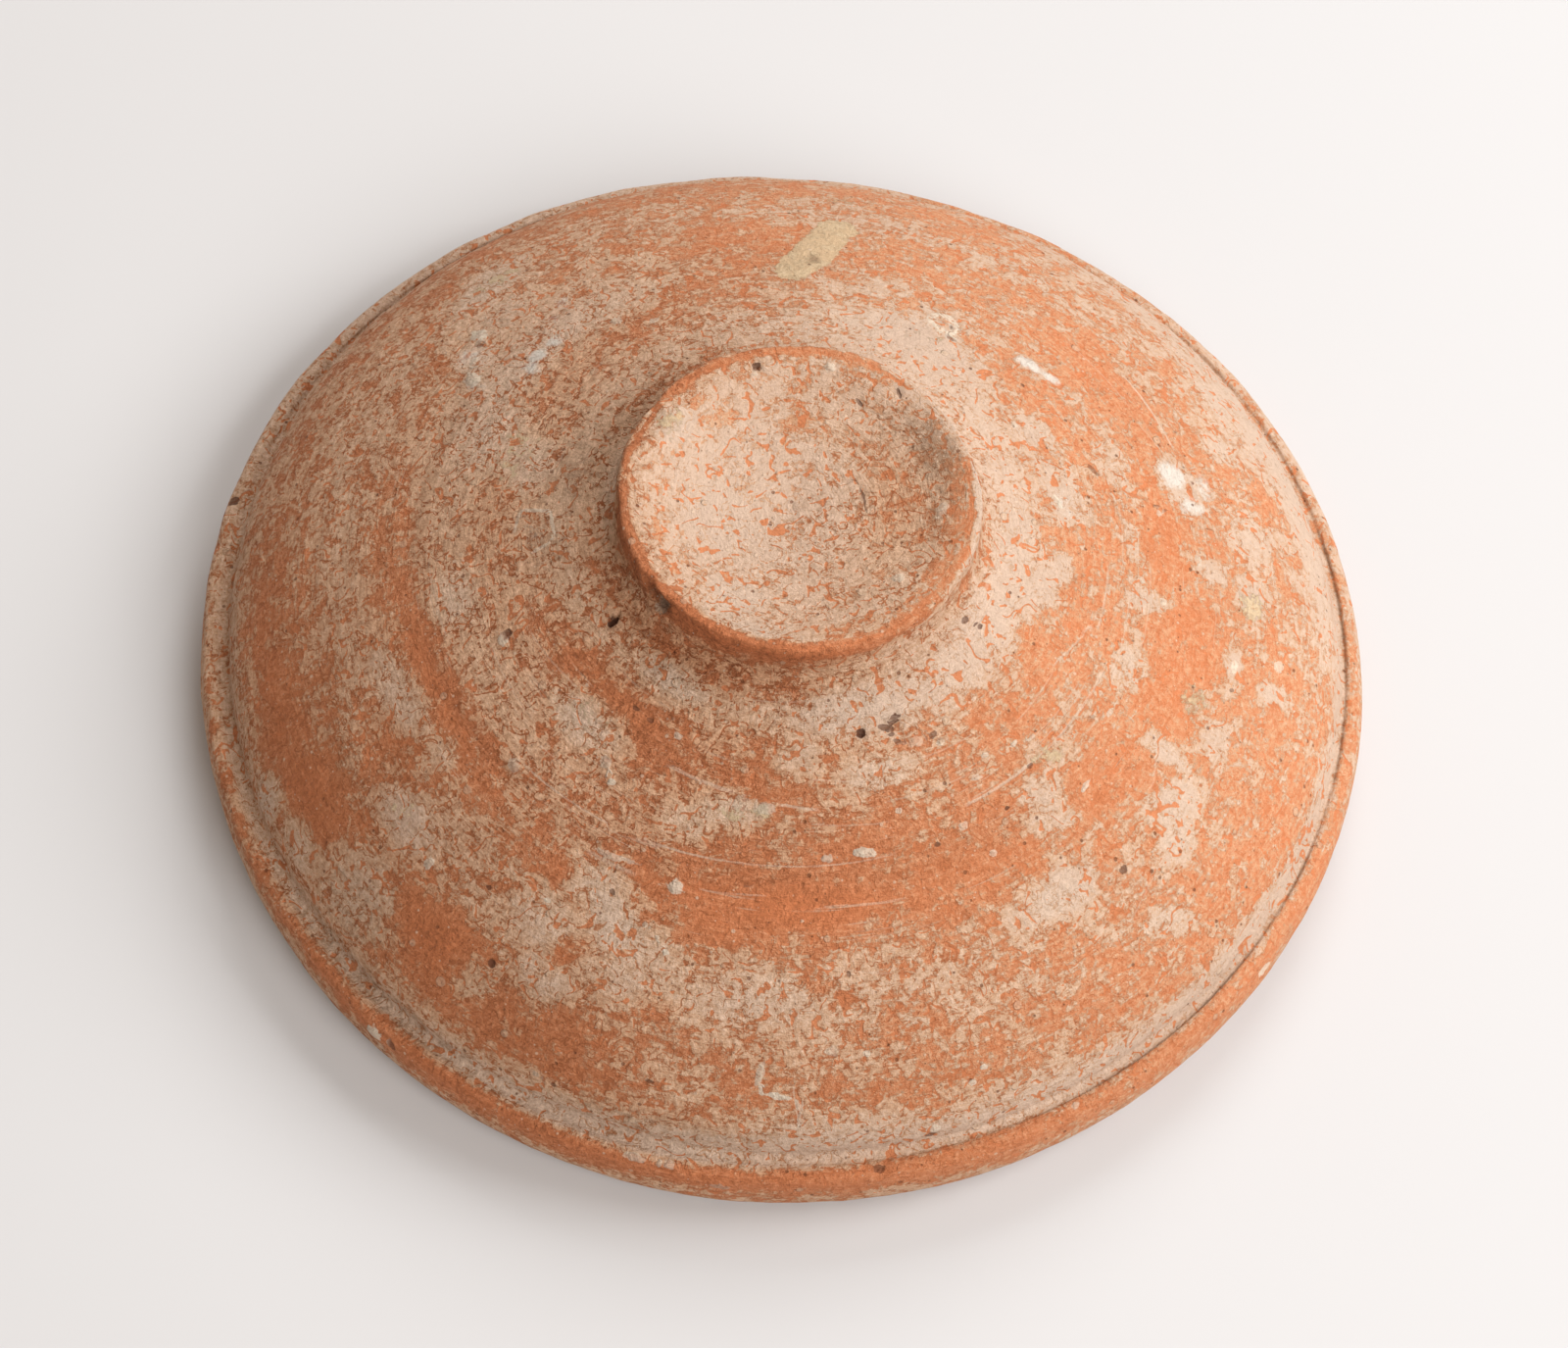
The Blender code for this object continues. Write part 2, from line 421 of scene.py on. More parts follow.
softness = arc(SOFT_SIDE_TURN, SOFT_SIDE_HALF)
near_groove = band(GROOVE_AT + 1, GROOVE_REACH, 4) * outer
soft, sharp_kept = smoothed(surface, SOFT_PASSES), smoothed(surface, SHARP_PASSES)
surface = surface + (soft - surface) * (softness * near_groove)[..., None]
surface = surface + (sharp_kept - surface) * ((1 - softness) * near_groove)[..., None]
foot_edge = (band(FOOT_EDGE_AT, FOOT_EDGE_REACH, 4) * outer)[..., None]
surface = surface + (smoothed(surface, EDGE_PASSES) - surface) * foot_edge
normal = normals_of(surface)
print("soft side takes up", round(float((softness > 0.5).mean()), 2), "of the way round")

# %% Low relief everywhere
# Heights in mm. A ring is noise that changes fast along the outline and slowly round the bowl.
RING_SPACING, RING_TURNS = 2.2, 6
RING_HEIGHTS = 0.06, 0.05
SWELL_HEIGHT, DENT_HEIGHT = 0.11, 0.06
GRAIN_HEIGHT, COARSE_GRAIN = 0.03, 0.07
COARSE_EDGE, COARSE_STEP, COARSE_SIDE = 60.5, 0.22, 168.54
FOOT_DENTS, FOOT_LOSS, FOOT_SIDE_DENTS, RIM_DENTS = 0.22, 0.08, 0.16, 0.10
# Places along the outline: where the wall starts and ends, and the middle and half-width of three bands.
WALL_FROM, WALL_TO = 34, 97
FOOT_RIM, FOOT_SIDE, RIM_BAND = (25.5, 3.5), (29.5, 4.0, 4), (104, 5)
ring_place = np.stack([np.cos(round_) * RING_TURNS, np.sin(round_) * RING_TURNS, along / RING_SPACING], axis=-1)
turning = lumps(ring_place, 1.0, 11) * RING_HEIGHTS[0]
ring_place[..., :2] /= 3
turning += lumps(ring_place, 1.0, 12) * RING_HEIGHTS[1]
relief = turning * (step(WALL_FROM, 3) - step(WALL_TO, 3))
relief += rough(surface, 11.0, 21) * SWELL_HEIGHT + rough(surface, 3.2, 31, 2) * DENT_HEIGHT
coarse_middle = (1 - step(COARSE_EDGE, 2.5)) * step(WALL_FROM - 1, 4)
relief += rough(surface, 1.7, 41, 1) * (GRAIN_HEIGHT + COARSE_GRAIN * coarse_middle)
# On the left the coarse middle ends in a low step.
relief += COARSE_STEP * coarse_middle * (1 - step(COARSE_EDGE - 1, 3.0)) * np.clip(towards(COARSE_SIDE), 0, 1)
relief += band(*FOOT_RIM) * (rough(surface, 5.0, 51) * FOOT_DENTS - FOOT_LOSS)
foot_side = band(*FOOT_SIDE) * outer
relief += foot_side * rough(surface, 3.0, 55, 2) * FOOT_SIDE_DENTS
relief += band(*RIM_BAND) * rough(surface, 8.0, 61) * RIM_DENTS
print("low relief, mm:", relief.min().round(2), "to", relief.max().round(2))

# %% Marks with relief
# Direction, distance, half-size round, half-size down, height in mm, and the lean in degrees if there is one.
RAISED = (
    (-119.5, 36, 3.2, 2.2, 0.55, 20), (-122.5, 37.8, 1.6, 1.2, 0.35), (146.6, 66.4, 1.5, 1.4, 0.45),
    (154, 61.2, 1.7, 2.6, 0.5, 25), (151.4, 61.2, 1.2, 1.2, 0.35), (146.4, 54.3, 3, 4, 0.15),
    (-151.5, 50.2, 1.6, 1.1, 0.5), (-101.6, 61.6, 1.5, 1.2, 0.5), (-111, 61, 3.6, 0.9, 0.35, -8),
    (-73.8, 55, 2, 1, 0.4), (-100.5, 70.3, 1.1, 0.9, 0.3), (-90.5, 49, 1.8, 1.4, 0.35),
    (-126.6, 104.4, 2.4, 1.8, 0.5), (-98, 102, 2.4, 1.2, 0.4), (-95.6, 102, 1.2, 1.2, 0.35),
    (-90, 104.5, 2, 1, 0.3), (20, 66.8, 5.5, 3.6, 0.2, -25), (65.4, 49.9, 3, 2.8, 0.22),
    (91.7, 60.3, 4.6, 10.5, 0.2, 26), (-36, 18.2, 1.6, 1.2, 0.4), (84, 22, 1, 0.9, 0.3), (10, 9.2, 1.2, 2.6, 0.3),
    (2, 19.8, 2.2, 1.2, 0.22, 20), (-170.5, 57.5, 1, 3.6, 0.2), (-176, 50, 1.4, 4, 0.22),
    (-132, 58.5, 1.4, 1.4, 0.4), (-120, 50.5, 1.2, 1.2, 0.35), (-131.5, 76.5, 1.2, 1.2, 0.35),
    (66, 92.5, 7, 3, 0.15), (-58.5, 42.6, 1.6, 1.2, 0.3),
)
HOLLOW = (
    (158.5, 24.6, 4.2, 2.6, 0.4), (150, 26, 3, 2, 0.35), (-134, 27.7, 3.2, 2.6, 0.4), (-127.5, 26.2, 3, 1.6, 0.35),
    (-61.5, 38.8, 2.6, 1.4, 0.4, -15), (-39.2, 73, 0.9, 0.9, 0.25), (111, 22.2, 1.1, 1, 0.6),
    (57, 22.6, 1.6, 0.7, 0.5, 30), (68, 18.6, 1.3, 0.6, 0.45, 25), (-75.6, 101.8, 1.5, 1.2, 0.6),
    (-55.6, 101.4, 1, 0.9, 0.4), (171, 102, 1.6, 1.4, 0.45), (-31, 105, 2.2, 1.2, 0.45), (150, 105, 4, 2.5, 0.35),
    (128, 104, 5, 2.5, 0.4), (-170, 27, 3, 2, 0.3), (33, 62.8, 7, 0.6, 0.15, 6), (14.5, 63, 3, 0.9, 0.3, -70),
    (-150.5, 48.6, 1, 0.7, 0.5), (-119, 81.8, 1.1, 1, 0.4), (-165, 103.5, 3, 2, 0.3), (100, 26, 5, 1.8, 0.3),
)
# Chips have a floor and steep sides.
CHIPS = (
    (-134.5, 27.6, 2.3, 1.9, 1.3, 10), (-139, 26.2, 1.6, 1.3, 0.5), (158.5, 24.3, 3.4, 1.9, 0.55),
    (-141, 35.6, 0.8, 1, 1.1), (-69.4, 39.2, 0.75, 0.65, 0.9), (36.2, 8.8, 1.1, 0.4, 0.35, -22),
    (17.3, 9.25, 2.1, 0.4, 0.45),
)


def cut(turn, out, half_round, half_down, lean=0.0):
    """A pan with steep sides: 3 times (1 - u^2 - v^2), held between 0 and 1, on a slightly wavy oval."""
    u, v = oval(turn, out, half_round, half_down, lean)
    wave = lumps(surface, 1.1, 71) * 0.25
    return np.clip(3 * (1 - u * u - v * v + wave), 0, 1) * (u * u + v * v < 2) * outer


relief += total(RAISED) - total(HOLLOW) - total(CHIPS, cut)
print("marks in relief:", len(RAISED) + len(HOLLOW) + len(CHIPS))

# %% The crack and the valley under the rim
# Direction and half-width of each cracked stretch, in degrees.
LONG_CRACK, SHORT_CRACK = (-5, 58), (140, 40)
SHORT_CRACK_AT_MOST = 0.3
CREST_HEIGHT, FILL_HEIGHT, CREVICE_DEPTH, VALLEY_DEPTH = 0.55, 0.2, 0.6, 0.85
# How far each lies past the groove, and its half-width, in mm.
CREST, FILL, CREVICE, VALLEY = (4.2, 1.6), (0.3, 1.4), (1.0, 0.45), (0.6, 2.0)


def past_groove(distance, half):
    """A band at this distance past the groove."""
    return band(GROOVE_AT + distance, half)


cracked = arc(*LONG_CRACK) * (0.65 + 0.6 * lumps(surface, 5.0, 84))
cracked += arc(*SHORT_CRACK) * np.clip(lumps(surface, 4.0, 85) * 1.5, 0, SHORT_CRACK_AT_MOST)
cracked = np.clip(cracked, 0, 1)
crevice = past_groove(*CREVICE) * cracked
valley = past_groove(*VALLEY) * softness * (1 + 0.25 * lumps(surface, 9.0, 82))
filled = past_groove(*FILL) * (1 - softness)
crest = past_groove(*CREST) * softness * (0.7 + 0.4 * lumps(surface, 6.0, 83))
relief += crest * CREST_HEIGHT + filled * FILL_HEIGHT - crevice * CREVICE_DEPTH - valley * VALLEY_DEPTH
INSIDE_SHARE = 0.7
relief[~outer] *= INSIDE_SHARE
print("relief, mm:", relief.min().round(2), "to", relief.max().round(2))

# %% Push the surface by its relief
# A thin skin is taken off all round, so that few lumps reach the solid bowl's box, and those are held at it. The lip
# stays level where it rests.
SKIN = 0.12
resting = (height < 0.02) | (along < 1.0)
relief = np.where(resting, 0.0, relief - SKIN * outer)
relief[0] = relief[-1] = 0
carved = surface + normal * relief[..., None]
carved = np.clip(carved, cad_low / MM, cad_high / MM)
mesh = closed_mesh(PIECE, carved)
clay = put(PIECE, mesh)
mesh.shade_smooth()
print("points", len(mesh.vertices), " triangles", sum(len(f.vertices) - 2 for f in mesh.polygons))

# %% [markdown]
# ## Where the film lies
#
# Burial left a thin beige film on the red slip. It is thick in hollows and worn off the edges. The film's broad
# spread is a number at every point, the sum of wide areas and of patches. The finish adds fine noise to it, and
# so each patch gets a ragged edge.

# %% Broad spread of the film
# Direction and distance of the middle, half-size in degrees, half-size in mm, amount.
WIDE = (
    (0, 95, 13, 10, -0.22), (180, 120, 13, 12, 0.1), (-110, 85, 27, 4, -0.55), (-120, 75, 30, 6, -0.25),
    (25, 75, 26, 4, 0.6), (60, 70, 33, 8, 0.28), (-20, 90, 36, 7, 0.3), (-40, 60, 35, 8, 0.1),
    (180, 60, 30, 6, 0.2), (70, 70, 42, 7, 0.28), (-110, 60, 43, 9, -0.22), (-90, 60, 57, 10, -0.2),
    (-90, 30, 62, 7, -0.28), (-150, 40, 63, 7, -0.2), (75, 35, 50, 8, 0.22), (150, 40, 55, 8, 0.18),
    (-155, 40, 82, 12, -0.2), (-110, 30, 86, 8, -0.22), (-90, 35, 74, 9, 0.05), (30, 50, 87, 12, 0.38),
    (50, 60, 90, 9, 0.22), (-30, 90, 96.5, 4.5, 0.42), (-100, 50, 97, 4, 0.2), (-125, 60, 98, 7, -0.15),
    (-100, 70, 103, 5, -0.4), (-30, 50, 104, 4, -0.1), (30, 60, 104, 6, 0.45), (130, 90, 104, 8, 0.45),
    (-160, 40, 112, 9, 0.35), (-45, 35, 46, 6, -0.1), (-150, 45, 87, 9, -0.14), (-130, 28, 43, 5, -0.3),
    (-140, 50, 33, 6, -0.12), (-150, 22, 61, 5, -0.25), (-100, 30, 22.5, 3, 0.35), (0, 50, 22.5, 3.5, -0.28),
    (-100, 26, 100.5, 2.5, 0.4), (20, 30, 91, 5, 0.35), (-105, 28, 73, 5, -0.18), (45, 45, 61, 6, 0.12),
    (15, 25, 55, 4, 0.2), (150, 50, 49, 6, -0.12), (80, 35, 13, 4, -0.15), (-110, 25, 92, 5, -0.15),
    (140, 45, 60, 18, 0.12), (70, 45, 73, 12, 0.1), (-130, 30, 89, 6, -0.1), (-120, 60, 99.5, 3.5, 0.4),
    (-150, 75, 29, 5, 0.22), (10, 50, 13, 5, -0.12), (-70, 40, 22, 2.5, -0.15), (-70, 60, 28.8, 3, 0.2),
)
# Direction, distance, half-size round, half-size down in mm, amount, and the lean if there is one.
PATCHES = (
    (137, 76, 9, 5, 0.35, -20), (141, 67, 7, 4, 0.2), (150, 64, 4, 4, 0.35), (165, 50, 8, 5, 0.3, 10),
    (171, 45, 6, 5, 0.3), (152, 21, 4, 3, 0.4), (-115, 18, 5, 4, 0.35), (-160, 12, 7, 5, 0.15),
    (66, 44, 12, 6, 0.4), (20, 66.6, 7, 6, 0.45), (13.5, 45.5, 5, 4, 0.4), (4.8, 74.8, 4.2, 4, 0.45),
    (33, 45, 4, 3.5, 0.45), (21, 45, 5, 4, 0.35, 20), (-2, 43, 3.5, 3, 0.45), (-9, 41, 4, 3.5, 0.4),
    (-25, 35, 8, 4, 0.25), (13, 76, 7, 5, 0.35, 30), (6, 68, 3.5, 4, 0.4), (27, 77, 4, 4, 0.35),
    (35, 83, 5, 3, 0.3), (-2, 57, 2, 4, 0.45), (-15, 57, 4, 4, 0.4, 20), (-23, 67, 2, 5, 0.55),
    (-28, 72, 6, 4, 0.55, 30), (-31, 76, 4, 3, 0.5), (-47, 70, 6, 4.5, 0.55), (-43, 61, 5, 3, 0.35, 20),
    (-42, 57, 4, 3, 0.35), (-53, 70, 5, 3, 0.35), (-38, 83, 7, 3, 0.4, 35), (-7, 80, 2, 4, 0.5),
    (-17, 73, 3.5, 3, 0.4), (-6, 72, 3, 2, 0.4), (-103, 53, 5, 3, 0.35), (-96, 50, 6, 2.5, 0.4),
    (-72, 36, 9, 4, 0.25), (-68, 45, 7, 3, 0.4), (-84, 42, 4, 3, 0.35), (-112, 65, 6, 4, 0.4),
    (-104, 73, 9, 6, 0.3), (-90, 74, 12, 5, 0.25), (-152, 66, 11, 4, 0.45, -10), (-141, 65, 3, 3, 0.35),
    (-128, 47, 8, 4.5, 0.55), (-152, 93, 4, 5, 0.45), (-138, 75, 7, 4, 0.45, 10), (-145, 91, 6, 4, 0.4),
    (-136, 87, 10, 7, 0.55), (-116, 73, 7, 4, 0.35), (-108, 69, 5, 4, 0.4), (-113, 80, 5, 4, 0.4),
    (-120, 85, 6, 4, 0.45), (-118, 36, 7, 3, 0.4), (-163, 55, 6, 5, 0.25), (-125, 83, 10, 5, -0.4),
    (-148, 84, 8, 6, -0.2), (-146, 72, 9, 4, -0.3), (-60, 62, 14, 5, -0.25), (-82, 62, 12, 4, -0.35),
    (-100, 78, 4, 2.5, -0.3), (-112, 76, 2, 6, -0.35, 30), (-118, 66, 5, 2, -0.3, -20), (-128, 80, 9, 5, -0.1, 20),
    (-95, 66, 7, 3, -0.25), (-5, 66, 8, 6, -0.25), (12, 59, 10, 5, -0.25), (-15, 62, 8, 5, -0.2),
    (40, 62, 14, 6, -0.25), (75, 78, 12, 6, -0.15), (105, 60, 16, 10, -0.1), (-33, 62, 8, 5, -0.25),
    (-160, 28, 8, 4, -0.3), (-75, 54, 9, 4, -0.2), (-55, 54, 10, 4, -0.15), (20, 82, 6, 4, -0.3),
    (-97, 87, 10, 5, 0.15), (-80, 93, 14, 4, 0.25), (-60, 92, 10, 4, 0.15), (0, 36, 9, 4, 0.2),
)
BASE_WALK = (0, 8, 14, 19, 22.5, 25, 29, 34, 38, 43, 49, 55, 61, 67, 73, 79, 85, 91, 95, 98, 100, 102, 106, 118)
BASE_FILM = (0.73, 0.72, 0.66, 0.60, 0.60, 0.50, 0.44, 0.46, 0.57, 0.45, 0.40, 0.48, 0.41, 0.38, 0.50, 0.46, 0.38,
             0.40, 0.58, 0.68, 0.50, 0.34, 0.41, 0.55)

RUBBED_AT, RUBBED_HALF, RUBBED_OFF = 24.4, 0.6, 0.5
film = np.interp(along, BASE_WALK, BASE_FILM)
film += sum(amount * area(turn, half_turn, out, half_out) for turn, half_turn, out, half_out, amount in WIDE)
film -= RUBBED_OFF * band(RUBBED_AT + 0.5 * lumps(surface, 3.0, 92), RUBBED_HALF) * outer
film += total(PATCHES, power=0.5)
print("film:", film.min().round(2), "to", film.max().round(2), " mean", film[outer].mean().round(2))

# %% [markdown]
# ## Stains, crusts and painted shade
#
# The ground leaves more than film. Lime makes chalk-white crusts, fine silt makes cream patches, and soot or iron
# makes dirt in corners and pores. Shade is painted as well: the slip is darker and redder over the shaded lower
# left, and the dirt also holds painted shade in the groove under the rim, on the neck beside the foot, at the dish's
# right inner edge and on the steep wall at the lower left. Each of these could be painted by hand, but ovals with a
# strength are easier to move, and the finish gives them their ragged edges.

# %% Painted shade, dirt, chalk and cream
# Each is a list of ovals: direction, distance, half-size round, half-size down in mm, strength, maybe a lean.
# Painted shade: the slip is made darker and redder, mostly over the shaded left and lower left.
SHADED_SIDE = (
    (-148, 76, 44, 17, 1), (-118, 84, 26, 12, 0.6), (175, 77, 30, 15, 0.35), (-60, 60, 20, 8, 0.2),
)
# Dirt, and painted shade: where the foot shades the neck on the left, on the steep wall above the valley at the lower
# left, and together with dirt at the dish's shaded right inner edge.
DIRT_AND_SHADE = (
    (28, 21, 12, 5, 0.75), (5, 20, 8, 4, 0.5), (50, 19, 10, 4, 0.4), (-134, 28, 4, 3, 0.5), (172, 38, 12, 7, 0.5),
    (-170, 41, 9, 6, 0.5), (-119, 36, 4, 3, 0.5), (143, 66, 12, 7, 0.35), (-61, 39, 4, 2.5, 0.4),
    (66, 52, 6, 4, 0.4), (-136, 90, 14, 10, 0.45), (-98, 95, 30, 4, 0.45), (-130, 98, 30, 4, 0.5),
    (-128, 47, 8, 5, 0.35), (24, 9, 3.5, 2, 0.4), (5, 9, 2, 3, 0.3), (91.8, 57.4, 1.8, 2.6, 0.7),
)
CHALK = (
    (22.2, 64.8, 3.2, 3, 1.1, -25), (17, 66.5, 2.4, 3.6, 0.75), (20.5, 70, 4, 2.2, 0.7),
    (48.6, 53.4, 3.4, 1.6, 1.1, -14), (44.2, 54.6, 3, 1.2, 1, -14), (36, 27.4, 4.5, 2.2, 0.9),
    (13.5, 26.5, 5.5, 2, 0.6), (14, 44, 4.5, 3, 0.4), (65.4, 49.9, 4.6, 4, 0.35), (141.5, 54.8, 2, 2.2, 0.8),
    (145.5, 54.6, 2.6, 1.8, 0.95, 10), (148.6, 53.6, 1.6, 2.6, 0.8), (134, 61.4, 2, 3, 0.6, 20),
    (137.5, 59, 1.5, 2.5, 0.45, 10), (-172, 42.3, 5, 4, 0.35), (150, 65, 2.5, 2.5, 0.6), (67, 93, 9, 3.5, 0.6),
    (90, 96, 12, 4, 0.5), (154.8, 60, 2.2, 3.2, 0.5, 25), (128, 97, 9, 3, 0.3),
)
CREAM = (
    (91.7, 60.6, 4, 11.2, 1.5, 22), (96, 55.4, 2.6, 4.8, 1.2, 14), (88.9, 68, 4, 3.8, 1.2), (89, 79, 3, 3, 0.4),
    (152, 21.5, 4, 3, 0.5), (3.5, 74.6, 3.4, 3.6, 0.6), (-37, 54, 4, 2.2, 0.5, 20), (168, 47, 9, 5, 0.4),
    (137, 76, 8, 4, 0.4), (-14, 67.5, 3.2, 3.2, 0.5), (-96, 50, 5, 2, 0.4), (-128, 47, 8, 4.5, 0.3),
    (-90.5, 49.3, 2, 1.6, 0.5), (66, 45, 10, 5, 0.25), (-138, 75, 6, 3.5, 0.3),
)
WORN = (
    (-110, 26, 40, 1.6, 0.7), (-60, 26, 16, 1.6, 0.5), (-175, 27, 12, 3, 0.8), (20, 66.8, 1.3, 1.1, 1),
)


def laid(marks):
    """The strongest of these ovals at each point, from 0 to 1."""
    return np.max([total([mark], power=0.5) for mark in marks], axis=0)


print("ovals of dark slip, dirt, chalk, cream and wear:", *map(len, (SHADED_SIDE, DIRT_AND_SHADE, CHALK, CREAM, WORN)))
